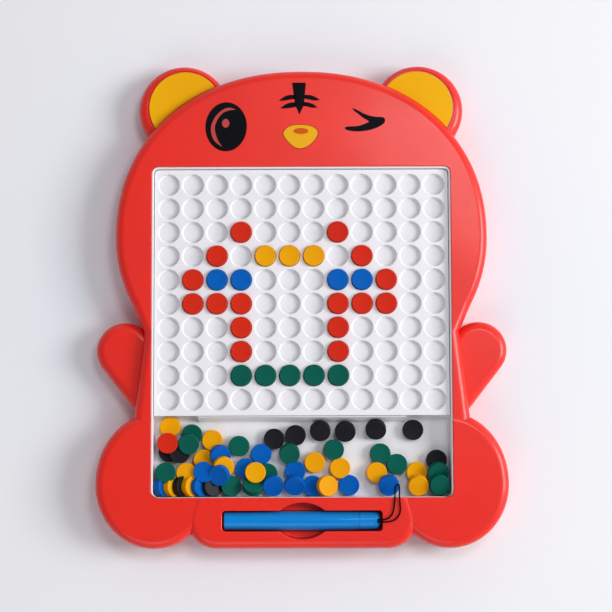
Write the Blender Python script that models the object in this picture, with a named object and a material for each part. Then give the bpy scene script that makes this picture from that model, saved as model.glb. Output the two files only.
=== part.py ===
"""A toy drawing board in the shape of an animal, lying on its back.

A two-part plastic case frames a white pan. Its upper field is a grid of round cells over a
magnet sheet, and its lower field is a tray for the loose discs. A magnetic pen lies in a bay
in the bottom bar. X runs to the right, Y to the top of the head, and Z out of the face. The
origin is the centre of the outline, on the surface that the back rests on.
"""

import math
from typing import NamedTuple

import bmesh
import bpy
from mathutils import Matrix, Quaternion, Vector

# Driving sizes, in metres. Every other size follows from these.
CLEAR = 0.0003
OVERRUN = 0.002
DEEP_OVERRUN = 0.004
STAGGER = 0.0001
WELD = 0.000001

# The discs and the grid of cells that they fit
DISC_RADIUS = 0.0065
DISC_THICKNESS = 0.0045
CELL_CLEARANCE = 0.0003
RIB_ACROSS = 0.00166
RIB_ALONG = 0.00152
COLUMNS = 12
ROWS = 10
DISC_SIDES = 12

# The bare margins round the cells, and the tray below them
SIDE_MARGIN = 0.00299
TOP_MARGIN = 0.0037
FOOT_MARGIN = 0.0025
TRAY_DEPTH_DISCS_SHARE = 3.93
WINDOW_CORNER = 0.0042

# The outline of the case, measured out from the window
WAIST_STRIP = 0.0046
HIP_STRIP = 0.011
HEAD_STRIP = 0.023
BROW_HEIGHT = 0.0619
EAR_RISE = 0.0044
BAR_DEPTH = 0.0317
HEAD_CENTRE_DROP = 0.0446
HEAD_DROP = 0.1032
HEAD_POWER = 2.165
WAIST_DROP = 0.1051
NECK_ANGLE = math.radians(-24.5)
HIP_RISE = 0.0822
TORSO_OVERLAP = 0.0055
FOOT_REACH = 0.035
FOOT_HALF_WIDTH = 0.0371
FOOT_CENTRE_RISE = 0.04
FOOT_TOP_RISE = 0.0844
BAR_HALF_WIDTH = 0.0723
BAR_NECK = 0.0048
BAR_CORNER = 0.0191
BAR_OVERLAP = 0.008
ARM_REACH = 0.0353
ARM_RADIUS = 0.0179
ARM_RISE = 0.124
ARM_LENGTH = 0.045
ARM_LEAN = math.radians(37.9)
EAR_RADIUS = 0.0287
EAR_CENTRE_SHARE = 0.7908

# The case in section
TORSO_HEIGHT = 0.0244
LOBE_STEP = 0.0004
LOW_LOBE_HEIGHT = 0.018
EDGE_ROUND = 0.0058
INNER_ROUND = 0.002
WALL = 0.0022
SKIRT_LIFT = 0.0006
COVER_THICKNESS = 0.0022
OUTLINE_STEPS = 14
EDGE_SEGMENTS = 2
LOBES = 5

# The white pan
RIM_WALL = 0.0009
RIM_SINK = 0.001
PAN_WALL = 0.0016
FLANGE_REACH = 0.0008
FLANGE_THICKNESS = 0.0016
GRID_DROP = 0.0038
GRID_THICKNESS = 0.0022
SHEET_THICKNESS = 0.0012
TRAY_DROP = 0.014
RAMP_RUN = 0.0036
RAMP_HALF_WIDTH = 0.0652

# The ear pads, a little in and up from the middles of the ears
PAD_RADIUS = 0.0235
PAD_SHIFT_IN = 0.001
PAD_SHIFT_UP = 0.00135
PAD_THICKNESS = 0.001

# The pen and its bay
PEN_RADIUS = 0.0059
PEN_WAIST = 0.0003
PEN_LENGTH = 0.0979
PEN_SINK = 0.0004
PEN_CENTRE_RISE = 0.0172
PEN_TIP_CHAMFER = 0.0005
CAP_LENGTH = 0.0135
CAP_ROUND = 0.0038
CAP_STEPS = 4
PEN_WALL = 0.0016
SPIGOT_LENGTH = 0.006
MAGNET_RADIUS = 0.0035
MAGNET_LENGTH = 0.005
BAY_GAP_ALONG = 0.001
BAY_GAP_ACROSS = 0.0005
BAY_CORNER = 0.0022
SCOOP_HALF_LENGTH = 0.014
SCOOP_REACH = 0.0113
SCOOP_FLOOR_DROP = 0.009
SCOOP_WALL = 0.0014
SCOOP_STEPS = 4
PEN_SIDES = 16

# The cord on the pen, and the slot in the tail cap that it comes out of
CORD_RADIUS = 0.0005
CORD_STEP = 0.0012
ROUTE_DIVISIONS = 20
SLOT_HALF_WIDTH = 0.0008
SLOT_HALF_LENGTH = 0.00145
SLOT_CORNER = 0.0007
SLOT_DEPTH = 0.0008
SLOT_LEAN = math.radians(35.0)

# The screws and their bosses
SCREW_RADIUS = 0.0012
SCREW_HEAD_RADIUS = 0.0026
SCREW_HEAD_HEIGHT = 0.0015
SCREW_SINK = 0.0004
SCREW_LENGTH = 0.0105
BOSS_WALL = 0.0018
COVER_BOSS_HEIGHT = 0.0042
SCREW_SIDES = 12
POST_RADIUS = 0.003
POST_ACROSS_SHARE = 2 / 3
POST_ALONG_SHARE = 1 / 3

# Levels, from the back upwards
FOOT_HEIGHT = TORSO_HEIGHT + LOBE_STEP
BAR_HEIGHT = FOOT_HEIGHT + LOBE_STEP
LIP_UNDERSIDE = TORSO_HEIGHT - WALL
FLANGE_TOP = LIP_UNDERSIDE - CLEAR
RIM_TOP = TORSO_HEIGHT - RIM_SINK
GRID_TOP = TORSO_HEIGHT - GRID_DROP
GRID_UNDERSIDE = GRID_TOP - GRID_THICKNESS
BOARD_SHEET_TOP = GRID_UNDERSIDE - CLEAR
BOARD_SHELF = BOARD_SHEET_TOP - SHEET_THICKNESS - CLEAR
TRAY_FLOOR = TORSO_HEIGHT - TRAY_DROP
TRAY_UNDERSIDE = TRAY_FLOOR - PAN_WALL
TRAY_SHEET_TOP = TRAY_UNDERSIDE - CLEAR
TRAY_SHEET_UNDERSIDE = TRAY_SHEET_TOP - SHEET_THICKNESS
PEN_AXIS = BAR_HEIGHT - PEN_RADIUS - PEN_SINK
BAY_FLOOR = PEN_AXIS - PEN_RADIUS - CLEAR

# The plan of the window, from the discs outwards
CELL_RADIUS = DISC_RADIUS + CELL_CLEARANCE
CELL_CORNER_RADIUS = CELL_RADIUS / math.cos(math.pi / DISC_SIDES)
PITCH_ACROSS = 2 * CELL_RADIUS + RIB_ACROSS
PITCH_ALONG = 2 * CELL_RADIUS + RIB_ALONG
TRAY_DEPTH = TRAY_DEPTH_DISCS_SHARE * 2 * DISC_RADIUS
BOARD_LENGTH = ROWS * PITCH_ALONG + TOP_MARGIN + FOOT_MARGIN
WINDOW_HALF_WIDTH = COLUMNS * PITCH_ACROSS / 2 + SIDE_MARGIN
OVERALL_LENGTH = BAR_DEPTH + TRAY_DEPTH + BOARD_LENGTH + BROW_HEIGHT + EAR_RISE
BASE_Y = -OVERALL_LENGTH / 2
WINDOW_BOTTOM = BASE_Y + BAR_DEPTH
STEP_Y = WINDOW_BOTTOM + TRAY_DEPTH
WINDOW_TOP = STEP_Y + BOARD_LENGTH
TOP_ROW_Y = WINDOW_TOP - TOP_MARGIN - PITCH_ALONG / 2
FIRST_COLUMN_X = -(COLUMNS - 1) * PITCH_ACROSS / 2
MOUTH_HALF_WIDTH = WINDOW_HALF_WIDTH - CLEAR - RIM_WALL
MOUTH_TOP = WINDOW_TOP - CLEAR - RIM_WALL
MOUTH_BOTTOM = WINDOW_BOTTOM + CLEAR
MOUTH_CORNER = WINDOW_CORNER - RIM_WALL

# The plan of the case
HEAD_HALF_WIDTH = WINDOW_HALF_WIDTH + HEAD_STRIP
HEAD_CENTRE_Y = WINDOW_TOP - HEAD_CENTRE_DROP
HEAD_RISE = BROW_HEIGHT + HEAD_CENTRE_DROP
WAIST_HALF_WIDTH = WINDOW_HALF_WIDTH + WAIST_STRIP
WAIST_Y = WINDOW_TOP - WAIST_DROP
HIP_HALF_WIDTH = WINDOW_HALF_WIDTH + HIP_STRIP
HIP_Y = BASE_Y + HIP_RISE
FOOT_X = WINDOW_HALF_WIDTH + FOOT_REACH - FOOT_HALF_WIDTH
FOOT_Y = BASE_Y + FOOT_CENTRE_RISE
FOOT_RISE = FOOT_TOP_RISE - FOOT_CENTRE_RISE
ARM_X = WINDOW_HALF_WIDTH + ARM_REACH - ARM_RADIUS
ARM_Y = BASE_Y + ARM_RISE
EAR_X = WINDOW_HALF_WIDTH * EAR_CENTRE_SHARE
EAR_Y = BASE_Y + OVERALL_LENGTH - EAR_RADIUS
PAD_X = EAR_X - PAD_SHIFT_IN
PAD_Y = EAR_Y + PAD_SHIFT_UP
PEN_Y = BASE_Y + PEN_CENTRE_RISE
PEN_END = PEN_LENGTH / 2
CAP_START = PEN_END - CAP_LENGTH
BAY_HALF_LENGTH = PEN_END + BAY_GAP_ALONG
BAY_HALF_WIDTH = PEN_RADIUS + BAY_GAP_ACROSS

# Screw places: the brow, the cheeks and the feet, as shares of the case
SCREW_PLACE_SHARES = ((0.37, 0.835), (0.91, 0.2), (0.866, -0.874))


class Colour(NamedTuple):
    """A plastic's colour in linear light, with its roughness."""

    red: float
    green: float
    blue: float
    roughness: float


COLOURS = {
    "case_red": Colour(0.79, 0.033, 0.017, 0.32),
    "pan_white": Colour(0.82, 0.82, 0.85, 0.4),
    "sheet_grey": Colour(0.7, 0.7, 0.74, 0.6),
    "magnet_brown": Colour(0.06, 0.045, 0.04, 0.7),
    "pad_yellow": Colour(0.85, 0.41, 0.008, 0.4),
    "pen_blue": Colour(0.004, 0.22, 0.65, 0.3),
    "cord_black": Colour(0.012, 0.012, 0.014, 0.8),
    "steel": Colour(0.55, 0.55, 0.57, 0.3),
    "red": Colour(0.62, 0.028, 0.014, 0.38),
    "yellow": Colour(0.8, 0.37, 0.005, 0.38),
    "blue": Colour(0.003, 0.115, 0.5, 0.38),
    "green": Colour(0.004, 0.107, 0.072, 0.38),
    "black": Colour(0.012, 0.012, 0.016, 0.38),
}
METAL_NAMES = ("steel",)

# The picture on the board: each row of cells, from the left, with the colours of its discs
PICTURE = {
    3: {4: "red", 8: "red"},
    4: {3: "red", 5: "yellow", 6: "yellow", 7: "yellow", 9: "red"},
    5: {2: "red", 3: "blue", 4: "blue", 8: "blue", 9: "blue", 10: "red"},
    6: {2: "red", 3: "red", 4: "red", 8: "red", 9: "red", 10: "red"},
    7: {4: "red", 8: "red"},
    8: {4: "red", 8: "red"},
    9: {4: "green", 5: "green", 6: "green", 7: "green", 8: "green"},
}


class Loose(NamedTuple):
    """A loose disc: its place as shares of the tray, its lift in discs, its lean and its colour."""

    across_share: float
    along_share: float
    lift_share: float
    tilt: float
    toward: float
    colour: str


# The loose discs in the tray, gathered in heaps of touching ones. Across is a share of the half
# width from the middle, along is a share of the depth from the bottom wall, and the lift is how
# many discs high the lowest point lies. The angles are in degrees: the tilt, and the way that the
# low side points, with 0 to the right and 90 to the top.
HEAP_SHARES = {
    "discs_upper_left": (
        Loose(-0.9, 0.565, 0, 0, 0, "black"),
        Loose(-0.891, 0.865, 0, 0, 0, "yellow"),
        Loose(-0.744, 0.772, 0, 0, 0, "green"),
        Loose(-0.828, 0.55, 0.1, 12, 330, "black"),
        Loose(-0.905, 0.668, 0.95, 0, 0, "red"),
        Loose(-0.762, 0.66, 0.6, 16, 260, "green"),
    ),
    "discs_lower_left": (
        Loose(-0.932, 0.138, 0, 50, 0, "blue"),
        Loose(-0.87, 0.138, 0, 50, 0, "yellow"),
        Loose(-0.809, 0.138, 0, 50, 0, "black"),
        Loose(-0.748, 0.138, 0, 48, 0, "yellow"),
        Loose(-0.684, 0.138, 0, 44, 0, "blue"),
        Loose(-0.606, 0.138, 0, 30, 0, "black"),
        Loose(-0.48, 0.138, 0, 12, 0, "green"),
        Loose(-0.606, 0.701, 0, 0, 0, "yellow"),
        Loose(-0.552, 0.52, 0, 22, 305, "blue"),
        Loose(-0.917, 0.3, 0.9, 16, 90, "green"),
        Loose(-0.778, 0.295, 0.5, 10, 90, "yellow"),
        Loose(-0.663, 0.462, 0, 0, 0, "yellow"),
        Loose(-0.661, 0.31, 0.9, 8, 90, "blue"),
        Loose(-0.53, 0.377, 0.44, 20, 320, "yellow"),
        Loose(-0.556, 0.275, 0.97, 22, 230, "blue"),
    ),
    "disc_green_middle": (Loose(-0.425, 0.629, 0, 0, 0, "green"),),
    "discs_centre_left": (
        Loose(-0.381, 0.352, 0, 0, 0, "blue"),
        Loose(-0.236, 0.29, 0, 0, 0, "green"),
        Loose(-0.332, 0.138, 0, 38, 80, "green"),
        Loose(-0.196, 0.144, 0.22, 22, 280, "blue"),
        Loose(-0.314, 0.305, 0.95, 0, 0, "yellow"),
        Loose(-0.275, 0.53, 0.02, 0, 0, "blue"),
        Loose(-0.188, 0.716, 0.04, 0, 0, "black"),
    ),
    "discs_centre": (
        Loose(0.07, 0.138, 0, 0, 0, "blue"),
        Loose(-0.047, 0.318, 0.02, 0, 0, "blue"),
        Loose(-0.052, 0.15, 0.12, 30, 270, "blue"),
        Loose(0.168, 0.138, 0.18, 22, 0, "yellow"),
        Loose(-0.085, 0.535, 0, 22, 270, "green"),
        Loose(-0.044, 0.76, 0, 0, 0, "black"),
    ),
    "disc_black_first": (Loose(0.123, 0.815, 0, 20, 270, "black"),),
    "disc_black_second": (Loose(0.292, 0.806, 0, 15, 270, "black"),),
    "disc_black_third": (Loose(0.498, 0.83, 0, 28, 270, "black"),),
    "disc_black_fourth": (Loose(0.75, 0.821, 0, 0, 0, "black"),),
    "disc_yellow_middle": (Loose(0.085, 0.425, 0, 0, 0, "yellow"),),
    "discs_centre_right": (
        Loose(0.316, 0.145, 0, 0, 0, "blue"),
        Loose(0.256, 0.355, 0.02, 0, 0, "yellow"),
        Loose(0.214, 0.58, 0.04, 0, 0, "green"),
    ),
    "discs_right": (
        Loose(0.528, 0.53, 0, 0, 0, "green"),
        Loose(0.64, 0.4, 0.02, 0, 0, "green"),
        Loose(0.502, 0.3, 0.04, 0, 0, "yellow"),
        Loose(0.583, 0.144, 0.36, 20, 270, "blue"),
    ),
    "discs_right_yellow": (
        Loose(0.773, 0.3, 0, 0, 0, "yellow"),
        Loose(0.782, 0.144, 0.36, 20, 270, "yellow"),
    ),
    "discs_right_corner": (
        Loose(0.926, 0.142, 0, 0, 0, "black"),
        Loose(0.908, 0.45, 0, 0, 0, "black"),
        Loose(0.917, 0.3, 0.42, 20, 270, "green"),
        Loose(0.926, 0.15, 0.99, 16, 270, "green"),
    ),
}
DISC_TURN = math.radians(7)


def clear_scene():
    """Empties the scene before the first piece is made."""
    for obj in list(bpy.data.objects):
        bpy.data.objects.remove(obj, do_unlink=True)


def make_materials():
    """One plastic or metal for each named colour."""
    made = {}
    for name, colour in COLOURS.items():
        material = bpy.data.materials.new(name)
        material.use_nodes = True
        shader = material.node_tree.nodes["Principled BSDF"]
        shader.inputs["Base Color"].default_value = (*colour[:3], 1)
        shader.inputs["Roughness"].default_value = colour.roughness
        shader.inputs["Metallic"].default_value = 1 if name in METAL_NAMES else 0
        made[name] = material
    return made


def add_object(name, bm, material=None, sharp=math.radians(35)):
    """Turns a bmesh into an object of the scene."""
    bmesh.ops.recalc_face_normals(bm, faces=bm.faces)
    mesh = bpy.data.meshes.new(name)
    bm.to_mesh(mesh)
    bm.free()
    mesh.shade_smooth()
    mesh.set_sharp_from_angle(angle=sharp)
    obj = bpy.data.objects.new(name, mesh)
    bpy.context.scene.collection.objects.link(obj)
    if material:
        mesh.materials.append(material)
    return obj


def add_cutter(name, bm):
    """A helper shape that a Boolean uses and that isn't part of the board."""
    obj = add_object(name, bm)
    obj.hide_render = True
    obj.display_type = "WIRE"
    return obj


def combine(target, cutter, operation):
    """Adds one Boolean step to a piece."""
    step = target.modifiers.new(cutter.name, "BOOLEAN")
    step.operation = operation
    step.solver = "EXACT"
    step.object = cutter


def extrude_outline(bm, outline, low, high, edge=0, segments=EDGE_SEGMENTS):
    """Adds a closed prism over an outline, with its upper edge rounded."""
    corners = [bm.verts.new((x, y, low)) for x, y in outline]
    base = bm.faces.new(corners)
    lifted = bmesh.ops.extrude_face_region(bm, geom=[base])["geom"]
    top = [item for item in lifted if isinstance(item, bmesh.types.BMVert)]
    bmesh.ops.translate(bm, verts=top, vec=(0, 0, high - low))
    if edge:
        upper = set(top)
        rim = [line for line in bm.edges if line.verts[0] in upper and line.verts[1] in upper]
        bmesh.ops.bevel(
            bm,
            geom=rim,
            offset=edge,
            segments=segments,
            profile=0.5,
            affect="EDGES",
            clamp_overlap=False,
        )


def box_outline(left, right, bottom, top, corner=0, steps=3):
    """A rectangle, with round corners where a radius is given."""
    if not corner:
        return [(left, bottom), (right, bottom), (right, top), (left, top)]
    centres = (
        (right - corner, top - corner),
        (left + corner, top - corner),
        (left + corner, bottom + corner),
        (right - corner, bottom + corner),
    )
    points = []
    for turn, (x, y) in enumerate(centres):
        for step in range(steps + 1):
            angle = (turn + step / steps) * math.pi / 2
            points.append((x + corner * math.cos(angle), y + corner * math.sin(angle)))
    return points


def ellipse_outline(x, y, half_width, rise, drop, steps):
    """An egg shape: one half ellipse over another."""
    points = []
    for step in range(steps):
        angle = 2 * math.pi * step / steps
        height = rise if math.sin(angle) > 0 else drop
        points.append((x + half_width * math.cos(angle), y + height * math.sin(angle)))
    return points


def mirrored(points):
    """Closes a right-hand outline, given from top to bottom, with its own mirror image."""
    return points + [(-x, y) for x, y in reversed(points) if x]


def torso_outline(grow, steps=OUTLINE_STEPS):
    """The head and body in one: a squared-off dome, a rounded jaw and two straight flanks."""
    right = []
    for step in range(steps + 1):
        angle = math.pi / 2 * (1 - step / steps)
        across = math.cos(angle) ** (2 / HEAD_POWER) if step else 0
        along = math.sin(angle) ** (2 / HEAD_POWER) if step < steps else 0
        x = (HEAD_HALF_WIDTH + grow) * across
        right.append((x, HEAD_CENTRE_Y + (HEAD_RISE + grow) * along))
    jaw_steps = steps // 2
    for step in range(1, jaw_steps + 1):
        angle = NECK_ANGLE * step / jaw_steps
        x = (HEAD_HALF_WIDTH + grow) * math.cos(angle)
        right.append((x, HEAD_CENTRE_Y + (HEAD_DROP + grow) * math.sin(angle)))
    right.append((WAIST_HALF_WIDTH + grow, WAIST_Y))
    right.append((HIP_HALF_WIDTH + grow, HIP_Y))
    right.append((HIP_HALF_WIDTH + grow, WINDOW_BOTTOM - TORSO_OVERLAP - grow))
    return mirrored(right)


def foot_outline(side, grow, steps=2 * OUTLINE_STEPS):
    """One foot, left (-1) or right (1)."""
    half_width = FOOT_HALF_WIDTH + grow
    drop = FOOT_CENTRE_RISE + grow
    return ellipse_outline(side * FOOT_X, FOOT_Y, half_width, FOOT_RISE + grow, drop, steps)


def bar_outline(grow, steps=OUTLINE_STEPS // 2):
    """The bar between the feet: round lower corners, and ends drawn in towards the window."""
    corner = BAR_CORNER + grow
    x = BAR_HALF_WIDTH - BAR_CORNER
    y = BASE_Y + BAR_CORNER
    right = [(x + corner - BAR_NECK, WINDOW_BOTTOM + BAR_OVERLAP + grow)]
    for step in range(steps + 1):
        angle = -math.pi / 2 * step / steps
        right.append((x + corner * math.cos(angle), y + corner * math.sin(angle)))
    return mirrored(right)


def arm_outline(side, grow, steps=OUTLINE_STEPS):
    """One raised arm: a long round-ended shape that leans in under the body."""
    points = []
    root_x = ARM_X - ARM_LENGTH * math.sin(ARM_LEAN)
    root_y = ARM_Y - ARM_LENGTH * math.cos(ARM_LEAN)
    for x, y, half in ((ARM_X, ARM_Y, 0), (root_x, root_y, 1)):
        for step in range(steps + 1):
            angle = math.pi * (half + step / steps) - ARM_LEAN
            reach = ARM_RADIUS + grow
            points.append((side * (x + reach * math.cos(angle)), y + reach * math.sin(angle)))
    return points


def ear_outline(side, grow, steps=2 * OUTLINE_STEPS):
    """One round ear."""
    radius = EAR_RADIUS + grow
    return ellipse_outline(side * EAR_X, EAR_Y, radius, radius, radius, steps)


def pad_outline(side, grow, steps=2 * OUTLINE_STEPS):
    """The round pad in one ear."""
    radius = PAD_RADIUS + grow
    return ellipse_outline(side * PAD_X, PAD_Y, radius, radius, radius, steps)


def add_lobes(name, grow, low, sink, edge):
    """The whole outline of the case as one helper: six lobes at their own heights, joined."""
    floors = [low - step * STAGGER for step in range(LOBES)]
    body = bmesh.new()
    extrude_outline(body, torso_outline(grow), floors[0], TORSO_HEIGHT - sink, edge)
    pairs = {
        "feet": (foot_outline, FOOT_HEIGHT, floors[1]),
        "arms": (arm_outline, LOW_LOBE_HEIGHT, floors[2]),
        "ears": (ear_outline, LOW_LOBE_HEIGHT, floors[3]),
    }
    joined = []
    for part, (outline, height, floor) in pairs.items():
        pair = bmesh.new()
        for side in (-1, 1):
            extrude_outline(pair, outline(side, grow), floor, height - sink, edge)
        joined.append(add_cutter(f"{name}_{part}", pair))
    bar = bmesh.new()
    extrude_outline(bar, bar_outline(grow), floors[4], BAR_HEIGHT - sink, edge)
    joined.append(add_cutter(f"{name}_bar", bar))
    return body, joined


def block(left, right, bottom, top, low, high, corner=0):
    """A bmesh block, with round upright edges where a radius is given."""
    bm = bmesh.new()
    extrude_outline(bm, box_outline(left, right, bottom, top, corner), low, high)
    return bm


def add_round(bm, x, y, radius, low, high, sides):
    """Adds an upright cylinder, flats facing along X and Y."""
    made = bmesh.ops.create_cone(
        bm,
        cap_ends=True,
        segments=sides,
        radius1=radius,
        radius2=radius,
        depth=high - low,
        matrix=Matrix.Translation((x, y, (low + high) / 2)) @ Matrix.Rotation(math.pi / sides, 4, "Z"),
    )
    return made["verts"]


def screw_places():
    """Each screw's X and Y, in pairs left and right."""
    for across_share, along_share in SCREW_PLACE_SHARES:
        for side in (-1, 1):
            yield side * across_share * HEAD_HALF_WIDTH, along_share * OVERALL_LENGTH / 2


def scoop_outline(grow):
    """The finger scoop across the bay: a lens of two arcs."""
    chord = BAY_HALF_WIDTH
    rise = SCOOP_REACH - chord
    radius = (SCOOP_HALF_LENGTH**2 + rise**2) / (2 * rise) + grow
    centre = SCOOP_REACH - radius + grow
    half_angle = math.acos((chord - centre) / radius)
    points = []
    for side in (1, -1):
        for step in range(2 * SCOOP_STEPS + 1):
            angle = half_angle * (1 - step / SCOOP_STEPS)
            y = PEN_Y + side * (centre + radius * math.cos(angle))
            points.append((-side * radius * math.sin(angle), y))
    return points


def make_case(materials):
    """The front shell and the back cover, which screws to it from behind."""
    body, lobes = add_lobes("case", 0, 0, 0, EDGE_ROUND)
    shell = add_object("front_shell", body, materials["case_red"])
    for lobe in lobes:
        combine(shell, lobe, "UNION")

    body, lobes = add_lobes("hollow", -WALL, -OVERRUN, WALL, INNER_ROUND)
    hollow = add_cutter("hollow_torso", body)
    for lobe in lobes:
        combine(hollow, lobe, "UNION")
    combine(shell, hollow, "DIFFERENCE")

    tub = block(
        -BAY_HALF_LENGTH - WALL,
        BAY_HALF_LENGTH + WALL,
        PEN_Y - BAY_HALF_WIDTH - WALL,
        PEN_Y + BAY_HALF_WIDTH + WALL,
        BAY_FLOOR - WALL,
        BAR_HEIGHT - WALL / 2,
    )
    combine(shell, add_cutter("bay_tub", tub), "UNION")
    scoop_tub = bmesh.new()
    scoop_low = BAR_HEIGHT - SCOOP_FLOOR_DROP - SCOOP_WALL
    extrude_outline(scoop_tub, scoop_outline(SCOOP_WALL), scoop_low, BAR_HEIGHT - SCOOP_WALL / 2)
    combine(shell, add_cutter("scoop_tub", scoop_tub), "UNION")

    bosses = bmesh.new()
    boss_radius = SCREW_RADIUS + CLEAR + BOSS_WALL
    boss_low = COVER_BOSS_HEIGHT + CLEAR
    for x, y in screw_places():
        add_round(bosses, x, y, boss_radius, boss_low, LIP_UNDERSIDE + WALL / 2, SCREW_SIDES)
    combine(shell, add_cutter("shell_bosses", bosses), "UNION")
    pilots = bmesh.new()
    pilot_top = SCREW_SINK + SCREW_LENGTH + OVERRUN
    for x, y in screw_places():
        add_round(pilots, x, y, SCREW_RADIUS + CLEAR, 0, pilot_top, SCREW_SIDES)
    combine(shell, add_cutter("shell_pilots", pilots), "DIFFERENCE")

    window = block(
        -WINDOW_HALF_WIDTH,
        WINDOW_HALF_WIDTH,
        WINDOW_BOTTOM,
        WINDOW_TOP,
        -OVERRUN,
        BAR_HEIGHT + OVERRUN,
        WINDOW_CORNER,
    )
    combine(shell, add_cutter("window_cut", window), "DIFFERENCE")
    bay = block(
        -BAY_HALF_LENGTH,
        BAY_HALF_LENGTH,
        PEN_Y - BAY_HALF_WIDTH,
        PEN_Y + BAY_HALF_WIDTH,
        BAY_FLOOR,
        BAR_HEIGHT + OVERRUN,
        BAY_CORNER,
    )
    combine(shell, add_cutter("bay_cut", bay), "DIFFERENCE")
    scoop = bmesh.new()
    extrude_outline(scoop, scoop_outline(0), BAR_HEIGHT - SCOOP_FLOOR_DROP, BAR_HEIGHT + OVERRUN)
    combine(shell, add_cutter("scoop_cut", scoop), "DIFFERENCE")

    recesses = bmesh.new()
    recess_low = LOW_LOBE_HEIGHT - PAD_THICKNESS - CLEAR
    for side in (-1, 1):
        extrude_outline(recesses, pad_outline(side, CLEAR), recess_low, LOW_LOBE_HEIGHT + OVERRUN)
    ear_cut = add_cutter("ear_cut", recesses)
    brow = bmesh.new()
    extrude_outline(brow, torso_outline(STAGGER), -OVERRUN, LOW_LOBE_HEIGHT + DEEP_OVERRUN)
    combine(ear_cut, add_cutter("brow_keep", brow), "DIFFERENCE")
    combine(shell, ear_cut, "DIFFERENCE")

    reach = HEAD_HALF_WIDTH + OVERALL_LENGTH
    below = block(-reach, reach, -reach, reach, -DEEP_OVERRUN, SKIRT_LIFT)
    combine(shell, add_cutter("skirt_cut", below), "DIFFERENCE")

    make_cover(materials, reach)
    make_ear_pads(materials)
    return shell


def make_cover(materials, reach):
    """The flat back cover, with bosses for the screws and posts that carry the pan."""
    cover = add_object(
        "back_cover", block(-reach, reach, -reach, reach, 0, COVER_THICKNESS), materials["case_red"]
    )
    body, lobes = add_lobes("cover_edge", -WALL - CLEAR, -OVERRUN, WALL, 0)
    edge = add_cutter("cover_edge_torso", body)
    for lobe in lobes:
        combine(edge, lobe, "UNION")
    combine(cover, edge, "INTERSECT")

    posts = bmesh.new()
    root = COVER_THICKNESS / 2
    boss_radius = SCREW_HEAD_RADIUS + CLEAR + BOSS_WALL
    for x, y in screw_places():
        add_round(posts, x, y, boss_radius, root, COVER_BOSS_HEIGHT, SCREW_SIDES)
    board_middle = (STEP_Y + WINDOW_TOP) / 2
    tray_middle = (WINDOW_BOTTOM + STEP_Y) / 2
    post_x = WINDOW_HALF_WIDTH * POST_ACROSS_SHARE
    post_y = BOARD_LENGTH * POST_ALONG_SHARE
    board_top = BOARD_SHELF - PAN_WALL - CLEAR
    tray_top = TRAY_SHEET_UNDERSIDE - CLEAR
    for x in (-post_x, 0, post_x):
        for y in (board_middle - post_y, board_middle, board_middle + post_y):
            add_round(posts, x, y, POST_RADIUS, root, board_top, SCREW_SIDES)
        add_round(posts, x, tray_middle, POST_RADIUS, root, tray_top, SCREW_SIDES)
    combine(cover, add_cutter("cover_posts", posts), "UNION")

    holes = bmesh.new()
    for x, y in screw_places():
        add_round(
            holes, x, y, SCREW_RADIUS + CLEAR, -OVERRUN, COVER_BOSS_HEIGHT + OVERRUN, SCREW_SIDES
        )
    combine(cover, add_cutter("cover_holes", holes), "DIFFERENCE")
    sinks = bmesh.new()
    head_seat = SCREW_SINK + SCREW_HEAD_HEIGHT + CLEAR
    for x, y in screw_places():
        add_round(sinks, x, y, SCREW_HEAD_RADIUS + CLEAR, -OVERRUN, head_seat, SCREW_SIDES)
    combine(cover, add_cutter("cover_sinks", sinks), "DIFFERENCE")


def make_ear_pads(materials):
    """The two yellow pads, let into the ears and cut off where the head covers them."""
    brow = bmesh.new()
    extrude_outline(brow, torso_outline(STAGGER + CLEAR), 0, LOW_LOBE_HEIGHT + DEEP_OVERRUN)
    keep = add_cutter("pad_trim", brow)
    for name, side in (("ear_pad_left", -1), ("ear_pad_right", 1)):
        bm = bmesh.new()
        extrude_outline(bm, pad_outline(side, 0), LOW_LOBE_HEIGHT - PAD_THICKNESS, LOW_LOBE_HEIGHT)
        combine(add_object(name, bm, materials["pad_yellow"]), keep, "DIFFERENCE")


def make_screws(materials):
    """Six pan-head screws, driven from behind through the cover into the shell's bosses."""
    head_top = SCREW_SINK + SCREW_HEAD_HEIGHT
    profile = (
        (0, SCREW_SINK),
        (SCREW_HEAD_RADIUS, SCREW_SINK),
        (SCREW_HEAD_RADIUS, head_top),
        (SCREW_RADIUS, head_top),
        (SCREW_RADIUS, SCREW_SINK + SCREW_LENGTH - SCREW_RADIUS),
        (0, SCREW_SINK + SCREW_LENGTH),
    )
    places = ("brow", "cheek", "foot")
    for index, (x, y) in enumerate(screw_places()):
        name = f"screw_{places[index // 2]}_{('left', 'right')[index % 2]}"
        bm = turned(profile, SCREW_SIDES)
        obj = add_object(name, bm, materials["steel"])
        obj.location = (x, y, 0)


def turned(profile, sides):
    """A closed turned shape about Z from its half profile of radius and height."""
    bm = bmesh.new()
    points = [bm.verts.new((radius, 0, height)) for radius, height in profile]
    lines = [bm.edges.new(pair) for pair in zip(points, points[1:])]
    bmesh.ops.spin(
        bm,
        geom=points + lines,
        cent=(0, 0, 0),
        axis=(0, 0, 1),
        angle=2 * math.pi,
        steps=sides,
        use_merge=True,
    )
    bmesh.ops.remove_doubles(bm, verts=bm.verts, dist=WELD)
    return bm


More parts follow.
